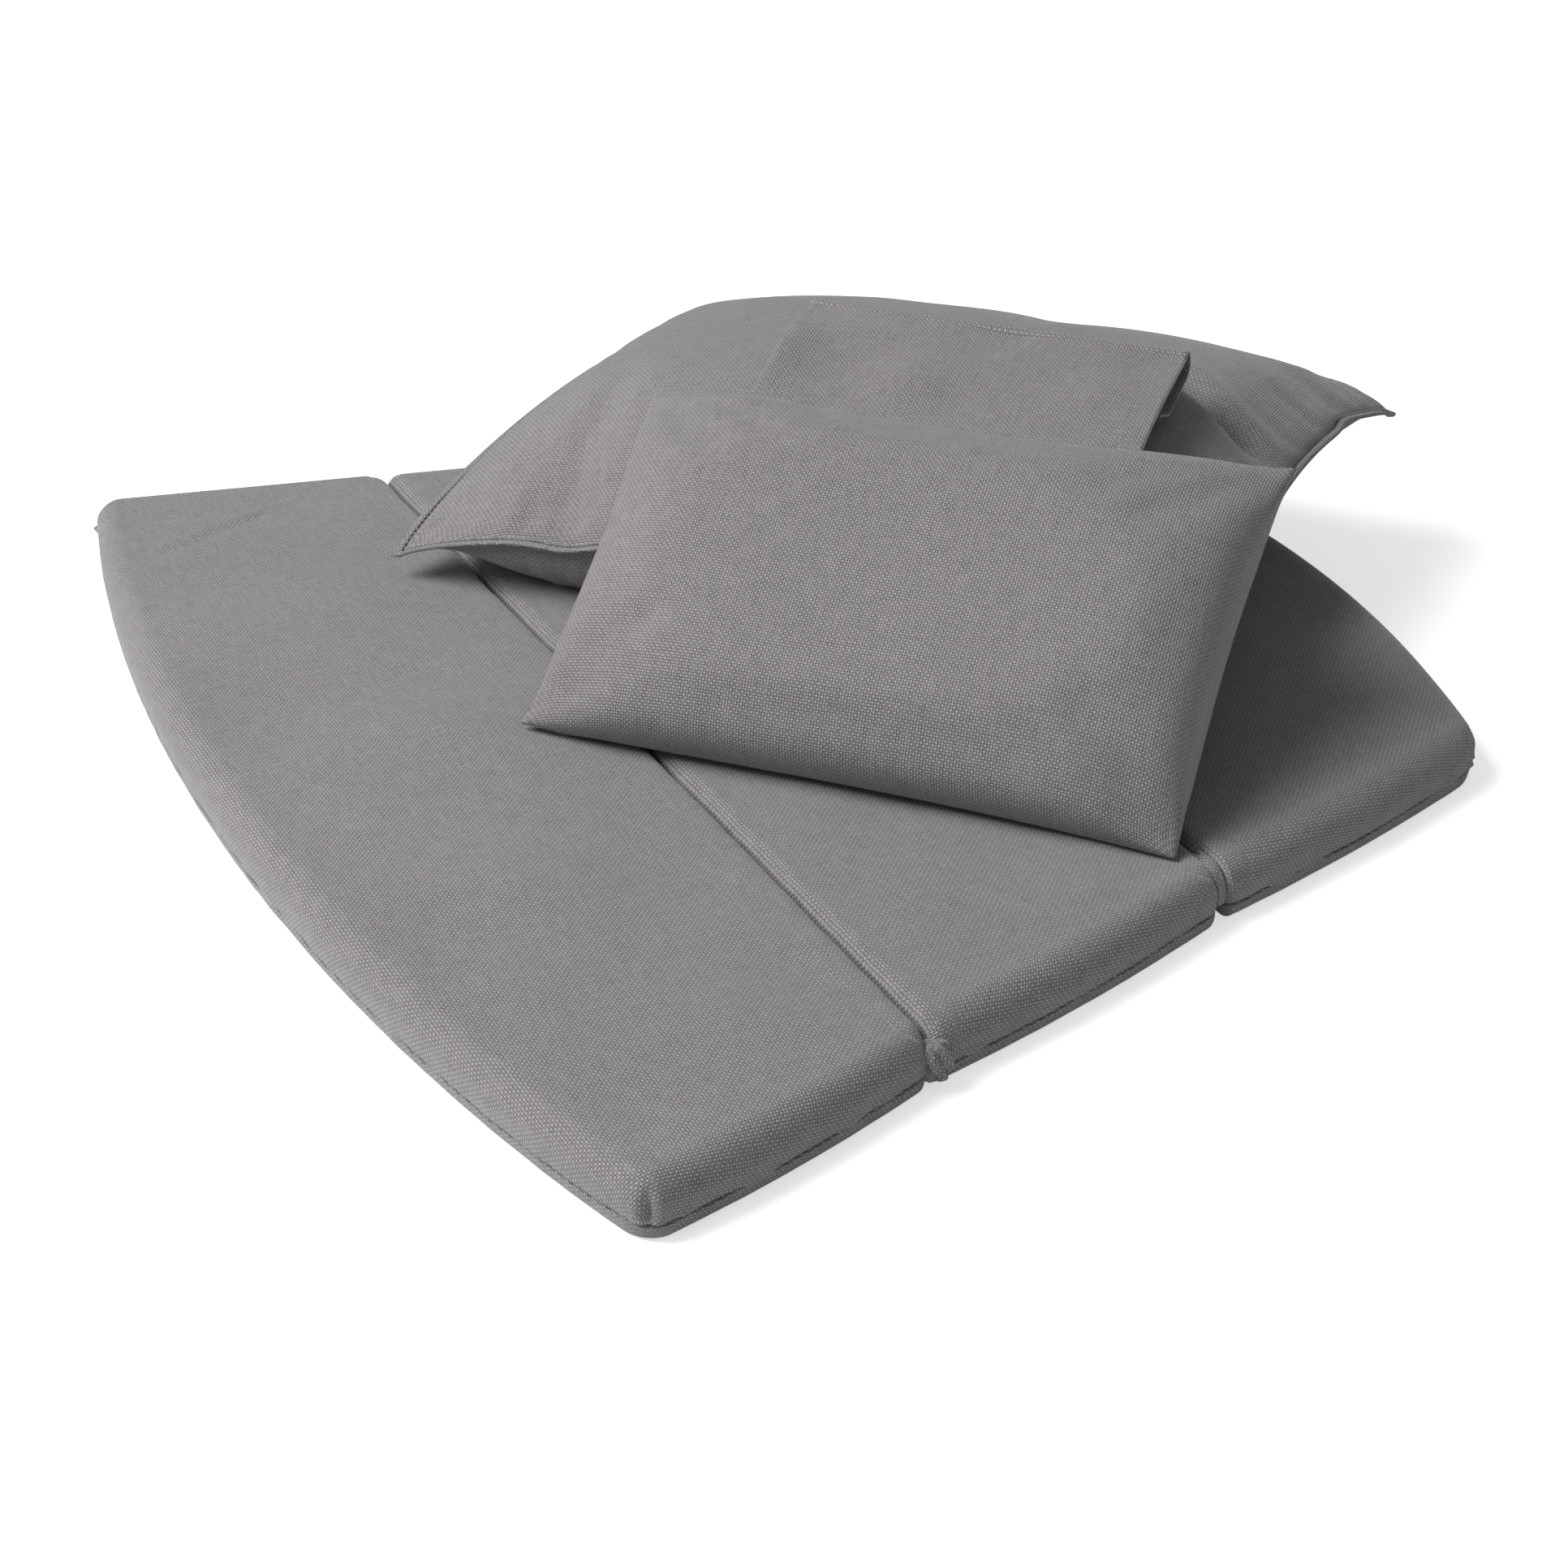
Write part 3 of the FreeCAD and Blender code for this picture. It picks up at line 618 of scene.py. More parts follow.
def seam_gathers(pad, run, calm, rows, inward, depth):
    """Push along a panel's outward normal: gathers at the seam, soft side waves and the seam's groove.

    calm is the share of the waves that each point of the run keeps.
    """
    gather_height, wave_height, wave_middle = 0.00020, 0.0004, 0.020
    groove_depth, groove_change, groove_limit = 0.0022, 0.0014, 0.005
    on_side = inward < 0.016
    by_seam = bell(rows - pad.seam_height, 0.009) * on_side
    by_middle = bell(rows - wave_middle, 0.012) * on_side
    gathers = gather_height * calm * sway(run, 21, 0.090, 0.025) * by_seam
    waves = wave_height * calm * sway(run, 22, 0.30, 0.09) * by_middle
    groove = np.clip(groove_depth + groove_change * sway(run, 23, 0.16, 0.03), 0.0, groove_limit)
    return gathers + waves - depth * groove


def corner_tucks(pad, name, run, rows, inward):
    """Push at a panel's outer corners: a pinched tuck with a hump on both sides, and the seam's tip."""
    pinch_depth, hump_height, hump_place = 0.0030, 0.0014, 0.0070
    long_tip, short_tip, tip_width = 0.0110, 0.0030, 0.0055
    on_side = inward < 0.014
    side = on_side * ease((rows - 0.010) / 0.003) * ease((0.036 - rows) / 0.014)
    at_seam = on_side * bell(rows - pad.seam_height - 0.001, 0.0028)
    push = np.zeros((len(rows), len(run)))
    for index in OUTER_CORNERS[name]:
        before = sum(DEEP_POINTS if edge % 2 else WIDE_POINTS for edge in range(index))
        off = run - run[before + CORNER_POINTS * index + CORNER_POINTS // 2] - 0.0015
        tuck = pinch_depth * bell(off, 0.0022) - hump_height * bell(np.abs(off) - hump_place, 0.0036)
        tip = long_tip if (name, index) == ("front", 2) else short_tip
        push = push - tuck * side + tip * bell(off, tip_width) * at_seam
    return push


def panel_surface(name):
    """A closed panel: the side profile carried round inset rounded rectangles, stretched to the plan.

    Gives its rows of points, pushed along the outward normal by gathers and tucks, and their cloth map.
    """
    pad = settings("pad")
    mean_bow, least_corner, far_calm = 0.6, 0.003, 0.25
    low, high = panel_ends(pad, name, mean_bow)
    half_depth = (high - low) / 2.0
    half_width = float(leg_half(pad, (low + high) / 2.0))
    inset, height, depth, first = side_profile(pad, half_depth)
    inward, rows = inset[:, None], height[:, None]
    radii = [pad.corner if index in OUTER_CORNERS[name] else pad.fold_corner for index in range(4)]
    sa, sb, ca, cb, corner = round_outline(radii)
    radius = np.maximum(corner - inward, least_corner * (1.0 - inward / half_depth))
    a = sa * (half_depth - inward - radius) + radius * ca
    b = sb * (half_width - inward - radius) + radius * cb
    x, y = panel_plan(pad, name, a, b, half_depth, half_width)
    flat = np.stack([x, y], -1)
    ring = flat[first + SEAM_ROWS + 1]
    step = np.roll(ring, -1, 0) - np.roll(ring, 1, 0)
    outward = unit(np.stack([step[:, 1], -step[:, 0]], -1))
    run = run_along(ring)
    far_leg = ring[:, 1] > 0.2
    push = seam_gathers(pad, run, np.where(far_leg, far_calm, 1.0), rows, inward, depth[:, None])
    push = push + corner_tucks(pad, name, run, rows, inward)
    on_top = ease((rows - 0.024) / 0.014) * ease((inward - 0.006) / 0.05)
    z = rows + panel_folds(name, x, y) * on_top
    points = np.concatenate([flat + outward * push[..., None], z[..., None]], -1)
    top_row = int(np.argmax(height >= pad.thickness - PANEL_CROWN - 0.00001))
    run_down = np.hypot(np.diff(inset), np.diff(height))
    drop = np.concatenate([np.cumsum(run_down[::-1])[::-1], [0.0]])
    drop = np.maximum(drop - drop[top_row], 0.0)[:, None, None]
    return points, np.where(drop > 0.0, flat[top_row] + outward * drop, flat)


class CUSHIONS_OT_pad_panels(bpy.types.Operator):
    """Builds the three foam panels of the fold pad with their seams and slack"""

    bl_idname = "cushions.pad_panels"
    bl_label = "Pad Panels"

    def execute(self, context):
        cloth = woven_cloth()
        for name in OUTER_CORNERS:
            rows, uv = panel_surface(name)
            piece = wall_mesh(name + "_panel_pad", rows, uv)
            nodes = [name + part for part in ("_top_cover", "_bottom_cover", "_foam")]
            dress(piece, name + "_panel", cloth, nodes)
        return {"FINISHED"}


def crease_path(pad, half):
    """Line that a crease's cloth follows: up one leg side, round its shoulder, over the top and down.

    Gives the line's points in Y and Z and the way out of the pad at each of them.
    """
    top, radius = pad.thickness - PANEL_CROWN, pad.shoulder
    down = np.linspace(0.0140, top - radius, 10)[:-1]
    bend = np.linspace(0.0, QUARTER_TURN, 16)
    flat = np.linspace(half - radius, radius - half, 260)[1:-1]
    level = np.ones(len(flat))
    leg_y = np.concatenate([np.full(len(down), half), half - radius + radius * np.cos(bend)])
    leg_z = np.concatenate([down, top - radius + radius * np.sin(bend)])
    out_y = np.concatenate([np.ones(len(down)), np.cos(bend)])
    out_z = np.concatenate([np.zeros(len(down)), np.sin(bend)])
    y = np.concatenate([leg_y, flat, -leg_y[::-1]])
    z = np.concatenate([leg_z, top * level, leg_z[::-1]])
    way_y = np.concatenate([out_y, 0.0 * level, -out_y[::-1]])
    way_z = np.concatenate([out_z, level, out_z[::-1]])
    return np.stack([y, z], -1), np.stack([way_y, way_z], -1)


def crease_cloth(pad, x, seed, web):
    """Cover cloth that dips into a crease: a V of two quarter ellipses carried along the crease's path.

    It tapers and swells with the legs, and at a distance d from the crease the V lies inside the path by
    D (1 - sqrt(1 - (1 - |d| / w)^2)). Down the near leg a web wider than nothing stays flat between two
    stitched grooves. Gives the points, their cloth map and the flat size.
    """
    half = float(leg_half(pad, x)) - pad.scallop * SCALLOP_INSET
    line, way = crease_path(pad, half)
    run = run_along(line)
    cloth_half, dip_half, dip_depth, slit_depth, panel_depth = 0.0245, 0.0110, 0.0122, 0.0050, 0.22
    hem_depth, gather_height, wander_reach = 0.0012, 0.00022, 0.00018
    web_depth, web_groove, web_length = 0.0020, 0.0030, 0.058
    d = np.linspace(-1.0, 1.0, 91)
    d = cloth_half * np.sign(d) * np.abs(d) ** 1.6
    off = np.abs(d)
    inside = np.clip(1.0 - off / dip_half, 0.0, 1.0)
    dip = dip_depth * (1.0 - dome(inside, 2, 0.5)) + slit_depth * bell(d, 0.0008)
    dive = hem_depth * ease((off - 0.0200) / 0.0045)
    gather = gather_height * sway(run, seed, 0.07, 0.014)[:, None] * bell(off - 0.005, 0.004)
    if web > 0.0:
        beside = off - web / 2.0
        flat_web = web_depth * ease(1.0 - beside / 0.004) + web_groove * bell(beside, 0.0009)
        near = ease((run - run[-1] + web_length) / 0.018)[:, None]
        dip = dip + (flat_web - dip) * near
    deep = dip + dive + gather
    wander = wander_reach * sway(run, seed + 1, 0.3, 0.05)[:, None] * bell(d, 0.006)
    taper = leg_half(pad, x + d) / leg_half(pad, x)
    bay = 4.0 * off / panel_depth * (1.0 - off / panel_depth)
    y, z = line[:, :1], line[:, 1:]
    swollen = pad.scallop * bay * np.clip(-y / half, 0.0, 1.0) ** 4
    points = np.stack([
        x + d + wander,
        y * taper - swollen - way[:, :1] * deep,
        z - way[:, 1:] * deep,
    ], -1)
    uv = np.stack(np.broadcast_arrays(x + d, (run[-1] / 2.0 - run)[:, None]), -1)
    middle = np.broadcast_to(dip + dive, deep.shape)[len(run) // 2]
    size = (float(np.hypot(np.diff(d), np.diff(middle)).sum()), float(run[-1]))
    return points, uv, size


def gathered_knot(pad):
    """Bunched cloth at the front crease's near end: an upright ellipsoid with five twisted pleats."""
    half_x, half_y, half_z = 0.0115, 0.0105, 0.0125
    pleat_depth, crimp, droop = 0.30, 0.06, 0.0015
    rise = np.linspace(-QUARTER_TURN, QUARTER_TURN, 41)[:, None]
    around = np.linspace(0.0, FULL_TURN, 97)[:-1][None, :]
    twist = around + 0.9 * np.sin(rise)
    pleat = 1.0 - pleat_depth * np.abs(np.cos(2.5 * twist)) ** 6
    pleat = pleat + crimp * np.cos(9.0 * around - 2.0 * rise)
    girth = np.cos(rise) ** 0.6 * pleat
    middle = (pad.front_fold + 0.0025, 0.0060 - float(leg_half(pad, pad.front_fold)), 0.0175)
    x = middle[0] + half_x * girth * np.cos(around)
    y = middle[1] + half_y * girth * np.sin(around)
    z = middle[2] + half_z * np.sin(rise) + droop * np.cos(rise) * np.cos(3.0 * around)
    uv = np.stack(np.broadcast_arrays(0.0110 * around, 0.0115 * rise), -1)
    return np.stack([x, y, z], -1), uv


class CUSHIONS_OT_creases(bpy.types.Operator):
    """Builds the cover cloth that dips into the two sewn creases"""

    bl_idname = "cushions.creases"
    bl_label = "Creases"

    def execute(self, context):
        pad = settings("pad")
        cloth = woven_cloth()
        for name, x, bodies, seed, web in (
            ("front", pad.front_fold, ("front_panel", "middle_panel"), 31, 0.0),
            ("back", pad.back_fold, ("middle_panel", "back_panel"), 33, pad.web),
        ):
            points, uv, size = crease_cloth(pad, x, seed, web)
            piece = wall_mesh(name + "_crease_cloth", points, uv, closed=False)
            piece.data.materials.append(cloth)
            thicken(piece, 0.0009, -1.0)
            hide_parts(name + "_fold_seam")
            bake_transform(piece)
        points, uv = gathered_knot(pad)
        knot = wall_mesh("front_crease_gather", points, uv)
        dress(knot, "middle_panel", cloth)
        return {"FINISHED"}


# Soft cushions


def spread(count):
    """Places from -1 to 1, closer together towards both ends."""
    turned = np.linspace(-QUARTER_TURN, QUARTER_TURN, count)
    return np.sin(turned) * 0.6 + np.linspace(-1.0, 1.0, count) * 0.4


def to_seam(u, v, half):
    """Distances of a point of a stuffed face from its nearest edge and corner, and along that edge."""
    edge_u, edge_v = (1.0 - np.abs(u)) * half[0], (1.0 - np.abs(v)) * half[1]
    run = np.where(edge_u < edge_v, v * half[1], u * half[0])
    return np.minimum(edge_u, edge_v), np.hypot(edge_u, edge_v), run


def pillow_frame():
    """Centre and the three axes of the neck pillow: along its length, up its face and out of its front."""
    pillow = settings("pillow")
    yaw, tilt = pillow.yaw, pillow.tilt
    along = np.array([math.cos(yaw), math.sin(yaw), 0.0])
    level = np.array([-math.sin(yaw), math.cos(yaw), 0.0])
    up = level * math.cos(tilt) + UP * math.sin(tilt)
    return np.array(pillow.centre), along, up, np.cross(along, up)


def pillow_swell(u, v):
    """Share of the pillow's swell: full in the middle, round at its edges, pinched at the corners."""
    pinch, pinch_width = 0.70, 0.042
    corner = to_seam(u, v, PILLOW_HALF)[1]
    return dome(u, 8.0, 0.42) * dome(v, 4.8, 0.44) * (1.0 - pinch * bell(corner, pinch_width))


def pillow_skew(u, v):
    """How far the stuffed pillow's corners are pulled in its plane: each pull by its bilinear weight^5."""
    s, t = (1.0 + u) / 2.0, (1.0 + v) / 2.0
    weights = [(1.0 - s) * t, s * t, s * (1.0 - t), (1.0 - s) * (1.0 - t)]
    pulls = [(-0.004, 0.003), (0.006, 0.0125), (-0.002, -0.001), (-0.008, 0.0075)]
    return tuple(sum(weight ** 5 * pull[axis] for weight, pull in zip(weights, pulls)) for axis in (0, 1))


def pillow_back(u, v):
    """How far the settled pillow's back stands behind its seam plane, between the points of its grid."""
    grid = SETTLED["pillow_back"]
    rows = np.interp(u, spread(grid.shape[0]), np.arange(grid.shape[0]))
    columns = np.interp(v, spread(grid.shape[1]), np.arange(grid.shape[1]))
    i = np.minimum(rows.astype(int), grid.shape[0] - 2)
    j = np.minimum(columns.astype(int), grid.shape[1] - 2)
    s, t = rows - i, columns - j
    low = grid[i, j] * (1.0 - t) + grid[i, j + 1] * t
    high = grid[i + 1, j] * (1.0 - t) + grid[i + 1, j + 1] * t
    return low * (1.0 - s) + high * s


def yielding(over, softness):
    """How far soft cloth gives way to what presses it: nothing well clear, the whole overlap when deep."""
    return np.where(over > -0.05, (over + np.hypot(over, softness)) / 2.0, 0.0)


def under_pillow(points, gap):
    """Presses points that stand inside the neck pillow's back out to a gap behind it."""
    pillow = settings("pillow")
    centre, along, up, front = pillow_frame()
    local = points - centre
    x, y, z = local @ along, local @ up, local @ front
    shift = pillow_skew(2.0 * x / pillow.long_side, 2.0 * y / pillow.short_side)
    u = 2.0 * (x - shift[0]) / pillow.long_side
    v = 2.0 * (y - shift[1]) / pillow.short_side
    inside = (np.abs(u) < 1.0) & (np.abs(v) < 1.0)
    over = np.where(inside, z + pillow_back(u, v) + gap, -1.0)
    return points - yielding(over, 0.0025)[..., None] * front


def flap_frame():
    """Middle of the flap's start and its axes: along the seam, away from the pillow and out of its top."""
    hinge = JOINTS["flap_turn"]
    slope = settings("flap").slope
    axis = np.array(hinge["axis"])
    back = np.cross(UP, axis) * math.cos(slope) + UP * math.sin(slope)
    return np.array(hinge["pos_m"]), axis, back, np.cross(axis, back)


def flap_curl(flap, x, y):
    """Upward curl of the flap's left end: a bell along its width, low at the sewn seam and at the turn."""
    curl_height, curl_width, fade_at_turn = 0.0055, 0.020, 0.85
    along = ease(y / 0.03) * (1.0 - fade_at_turn * ease((y - flap.upper + 0.040) / 0.045))
    return curl_height * bell(x + flap.width / 2.0, curl_width) * along


def flap_opening(flap, y):
    """Share of the loop's height between the flap's layers: none where they meet, all of it by the turn."""
    return ease((y - flap.close) / 0.030)


def under_flap(points, gap):
    """Presses points that stand inside the flap's fold out to a gap under it, easing off round it."""
    flap = settings("flap")
    middle, axis, back, out = flap_frame()
    local = points - middle
    x, y, z = local @ axis, local @ back, local @ out
    closed, slope_before, slope_round = 0.0020, 0.3, 0.42
    lower = -closed - 2.0 * flap.loop * flap_opening(flap, y) - gap - slope_before * np.maximum(-y, 0.0)
    beyond = np.maximum(np.abs(x) - flap.width / 2.0, 0.0)
    beyond = np.hypot(beyond, np.maximum(y - flap.upper - flap.loop, 0.0))
    limit = lower + beyond * slope_round
    over = np.where((y > -0.05) & (beyond < 0.12), z - limit, -1.0)
    return points - yielding(over, 0.006)[..., None] * out


def cushion_axes():
    """Ways along the cushion's near edge and across the cushion, in plan."""
    cushion = settings("cushion")
    left = np.array(cushion.left)
    return [unit((np.array(corner) - left) * IN_PLAN) for corner in (cushion.near, cushion.far)]


def cushion_seam(u, v):
    """Point of the seam surface: between the four corners, with edges drawn in and lifted between them.

    By the right tip the near edge kinks and the far edge stands up, so that the tip is a flat ear.
    """
    cushion = settings("cushion")
    along, across = cushion_axes()
    right_pull, kink_place, kink_width, kink_push, kink_drop = 1.8, 0.71, 0.10, 0.007, 0.001
    ear_rise, ear_foot, ear_start, ear_fade = 0.021, 0.022, 0.020, 0.100
    s, t = (1.0 + u) / 2.0, (1.0 + v) / 2.0
    weights = [(1.0 - s) * (1.0 - t), s * (1.0 - t), s * t, (1.0 - s) * t]
    corners = [np.array(corner) for corner in (cushion.left, cushion.near, cushion.right, cushion.far)]
    points = sum(weight[..., None] * corner for weight, corner in zip(weights, corners))
    run_u, run_v = 1.0 - u * u, 1.0 - v * v
    pull = cushion.draw_in * (1.0 - t) * run_u
    pinch = cushion.draw_in * ((1.0 - s) - right_pull * s) * run_v
    points = points + across * pull[..., None] + along * pinch[..., None]
    kink = bell(v - kink_place, kink_width) * s ** 12
    points = points - along * (kink_push * kink)[..., None]
    points[..., 2] += cushion.lift * ((1.0 - t) * run_u ** 0.75 + run_v ** 0.75) - kink_drop * kink
    ear = (1.0 - u) * CUSHION_HALF[0]
    stand = (1.0 - np.exp(-ear / ear_foot)) * (1.0 - ease((ear - ear_start) / ear_fade))
    points[..., 2] += ear_rise * stand * t ** 16
    return points


def cushion_dents(x, y):
    """Height of the cushion's hollows, under the flap and by the left tip, and of its folds."""
    flap_hollow, tip_hollow = 0.010, 0.012
    under_the_flap = flap_hollow * bell(x - 0.165, 0.11) * bell(y - 0.065, 0.11)
    left_tip = tip_hollow * bell(x + 0.098, 0.020) * bell(y - 0.160, 0.030)
    return soft_folds(x, y, CUSHION_FOLDS) - under_the_flap - left_tip


def cushion_face(u, v, side):
    """The cushion's top (side 1) or belly (side -1), before the cloth settles.

    Top: seam height plus a rise of (1-|u|^3)^0.66 times (1-|v|^3.2)^0.30 behind or (1-|v|^2.6)^0.62 in
    front, puckered along the seam and pinched at the corners. Belly: seam height less a like sag.
    """
    cushion = settings("cushion")
    pinch, less_at_right, pinch_width, belly_sag = 0.55, 0.42, 0.045, 0.105
    pucker_height, slack_height = 0.0014, 0.0012
    points = cushion_seam(u, v)
    x, y = points[..., 0], points[..., 1]
    to_edge, corner, run = to_seam(u, v, CUSHION_HALF)
    at_right = ((1.0 + u) * (1.0 + v) / 4.0) ** 2
    ends = dome(u, 3.0, 0.66) * (1.0 - (pinch - less_at_right * at_right) * bell(corner, pinch_width))
    pucker = pucker_height * sway(run, 41 + side, 0.08, 0.020) * np.exp(-to_edge / 0.022)
    pucker = pucker * ease(to_edge / 0.010) * (v < 0.9)
    slack = slack_height * ripple(x, y, 43 + side, 0.30, 0.10) * ease(to_edge / 0.05)
    if side > 0:
        middle = cushion_seam(np.zeros(1), np.zeros(1))[0, 2]
        swell = ends * np.where(v < 0.0, dome(v, 2.6, 0.62), dome(v, 3.2, 0.30))
        points[..., 2] += (cushion.crown - middle) * swell + pucker + slack + cushion_dents(x, y)
    else:
        swell = ends * dome(v, np.where(v < 0.0, 4.5, 2.4), 0.50)
        points[..., 2] -= belly_sag * swell - pucker - slack * 0.5
    return points


def pillow_face(u, v, side):
    """The pillow's front (side 1) or back (side -1): its seam plane plus the swell, puckers and slack.

    The ends are drawn in by |u|^3 (1 - v^2), the long sides by |v|^3 (1 - u^2), and the corners are pulled.
    """
    pillow = settings("pillow")
    end_draw, side_draw, pucker_height, slack_height = 0.006, 0.007, 0.0003, 0.0003
    centre, along, up, front = pillow_frame()
    skew = pillow_skew(u, v)
    x = u * pillow.long_side / 2.0 - np.sign(u) * np.abs(u) ** 3 * end_draw * (1.0 - v * v) + skew[0]
    y = v * pillow.short_side / 2.0 - np.sign(v) * np.abs(v) ** 3 * side_draw * (1.0 - u * u) + skew[1]
    to_edge, _, run = to_seam(u, v, PILLOW_HALF)
    pucker = pucker_height * sway(run, 51 + side, 0.09, 0.020)
    pucker = pucker * np.exp(-to_edge / 0.018) * ease(to_edge / 0.008)
    slack = slack_height * ripple(x, y, 53 + side, 0.25, 0.09) * ease(to_edge / 0.05)
    if side > 0:
        slack = slack + soft_folds(x, y, PILLOW_FOLDS)
    z = side * (pillow.swell * pillow_swell(u, v) + pucker + slack)
    return centre + x[..., None] * along + y[..., None] * up + z[..., None] * front


def off_pad(points):
    """Keeps points off the pad under them."""
    points[..., 2] = np.maximum(points[..., 2], settings("pad").thickness + REST_GAP)
    return points


def cushion_hold(points):
    """Keeps the cushion off the pad under it and off the pillow and flap that lie on it."""
    return off_pad(under_flap(under_pillow(points, 0.0015), 0.0004))


def settle_cloth(points, faces, pinned, pressure, slack, cap):
    """Swells a closed cloth form by air pressure in a short simulation with its seam held.

    No point moves further than the cap.
    """
    mesh = bpy.data.meshes.new("settling_cloth")
    mesh.from_pydata(points.tolist(), [], faces.tolist())
    piece = bpy.data.objects.new("settling_cloth", mesh)
    bpy.context.scene.collection.objects.link(piece)
    held = piece.vertex_groups.new(name="seam")
    held.add(np.flatnonzero(pinned).tolist(), 1.0, "REPLACE")
    cloth = piece.modifiers.new("cloth", "CLOTH").settings
    cloth.quality = 6
    cloth.mass = 0.25
    cloth.tension_stiffness = 20.0
    cloth.compression_stiffness = 20.0
    cloth.shear_stiffness = 8.0
    cloth.bending_stiffness = 0.8
    cloth.use_pressure = True
    cloth.uniform_pressure_force = pressure
    cloth.shrink_min = -slack
    cloth.vertex_group_mass = "seam"
    cloth.effector_weights.gravity = 0.0
    scene = bpy.context.scene
    last_moment = 20
    for moment in range(1, last_moment + 1):
        scene.frame_set(moment)
    shaped = piece.evaluated_get(bpy.context.evaluated_depsgraph_get()).to_mesh()
    moved = np.empty(len(shaped.vertices) * 3, np.float32)
    shaped.vertices.foreach_get("co", moved)
    scene.frame_set(1)
    bpy.data.objects.remove(piece)
    bpy.data.meshes.remove(mesh)
    shift = moved.reshape(-1, 3).astype(float) - points
    far = np.linalg.norm(shift, axis=-1, keepdims=True)
    return points + shift * np.minimum(1.0, cap / np.maximum(far, 1e-9))


def smoothed(grid, times):
    """A grid averaged with its four neighbours again and again, its border counted twice."""
    for _ in range(times):
        wide = np.pad(grid, ((1, 1), (1, 1), (0, 0)), mode="edge")
        around = wide[:-2, 1:-1] + wide[2:, 1:-1] + wide[1:-1, :-2] + wide[1:-1, 2:]
        grid = (grid + around / 4.0) / 2.0
    return grid


def unrolled(points):
    """Cloth map of a grid of points: lengths along both of its directions, from the middle of the grid."""
    wide, tall = points.shape[:2]
    run_u = np.linalg.norm(np.diff(points, axis=0, prepend=points[:1]), axis=-1).cumsum(0)
    run_v = np.linalg.norm(np.diff(points, axis=1, prepend=points[:, :1]), axis=-1).cumsum(1)
    return np.stack([run_u - run_u[wide // 2], run_v - run_v[:, tall // 2][:, None]], -1)


def settled_faces(u, v, face, settle):
    """Grids of a cushion's upper and lower faces, settled as cloth by a shift that fades at the seam."""
    edge = (np.abs(u) > AT_EDGE) | (np.abs(v) > AT_EDGE)
    free = int((~edge).sum())
    upper = np.arange(u.size).reshape(u.shape)
    lower = upper.copy()
    lower[~edge] = u.size + np.arange(free)
    points = np.concatenate([face(u, v, 1).reshape(-1, 3), face(u, v, -1)[~edge]])
    pinned = np.concatenate([edge.ravel(), np.zeros(free, bool)])
    quads = np.concatenate([grid_quads(upper), grid_quads(lower)[:, ::-1]])
    shaped = settle_cloth(points, quads, pinned, *settle)
    fade = 0.2
    inner = ease((1.0 - np.maximum(np.abs(u), np.abs(v))) / fade)[..., None]
    for index in (upper, lower):
        moved = smoothed(shaped[index] - points[index], times=14) * inner
        points[index[~edge]] += moved[~edge]
    return points[upper], points[lower]


def stuffed_mesh(name, face, axes, hold, counts, lip, settle):
    """Closed cushion from its two faces, settled as cloth and joined round a flat stitched edge.

    face(u, v, side) gives each face, axes are the ways along, across and up from the seam, hold keeps the
    points clear of what they touch, lip is the width and half thickness of the edge, and settle is the
    pressure, slack and cap of the settling. Returns the piece, the middle line of its edge and the grid of
    its lower face.
    """
    along, across, lift = axes
    u, v = np.meshgrid(spread(counts[0]), spread(counts[1]), indexing="ij")
    faces = settled_faces(u, v, face, settle)
    u, v = np.pad(u, 2, mode="edge"), np.pad(v, 2, mode="edge")
    away = ((np.abs(u) > AT_EDGE) * np.sign(u))[..., None] * along
    away = away + ((np.abs(v) > AT_EDGE) * np.sign(v))[..., None] * across
    step = np.zeros(u.shape)
    for ring, reach in ((1, 0.12), (0, 1.0)):
        step[[ring, -1 - ring], :] = reach
        step[:, [ring, -1 - ring]] = reach
    thick = np.where(step > 0.0, lip[1], 0.0)
    grids = []
    for side, grid in zip((1, -1), faces):
        rim = np.pad(grid, ((2, 2), (2, 2), (0, 0)), mode="edge")
        grids.append(hold(rim + away * (step * lip[0])[..., None] + lift * (side * thick)[..., None]))
    index = np.arange(u.size).reshape(u.shape)
    quads = grid_quads(index)
    ring = border(index)
    after = np.roll(ring, -1)
    walls = np.stack([ring, ring + u.size, after + u.size, after], -1)
    quads = np.concatenate([quads, quads[:, ::-1] + u.size, walls])
    points = np.concatenate([grid.reshape(-1, 3) for grid in grids])
    uv = np.concatenate([unrolled(grid).reshape(-1, 2) for grid in grids])
    inside = border(index[1:-1, 1:-1])
    line = (points[inside] + points[inside + u.size]) / 2.0
    return grid_mesh(name, points, quads, uv), line, grids[1][2:-2, 2:-2]


def beads(centres, ways, radii):
    """Points and quads of many small closed forms: rings carried along each form's own line.

    centres has shape (forms, rings, 3), ways holds the two directions of every ring and radii its two radii.
    """
    forms, rings = centres.shape[:2]
    sides = 6
    angle = np.arange(sides) * FULL_TURN / sides
    first = ways[0][..., None, :] * (radii[0][..., None] * np.cos(angle))[..., None]
    second = ways[1][..., None, :] * (radii[1][..., None] * np.sin(angle))[..., None]
    points = (centres[..., None, :] + first + second).reshape(-1, 3)
    index = np.arange(forms * rings * sides).reshape(forms, rings, sides)
    following = np.roll(index, -1, 2)
    faces = np.stack([index[:, :-1], following[:, :-1], following[:, 1:], index[:, 1:]], -1)
    return points, faces.reshape(-1, 4)


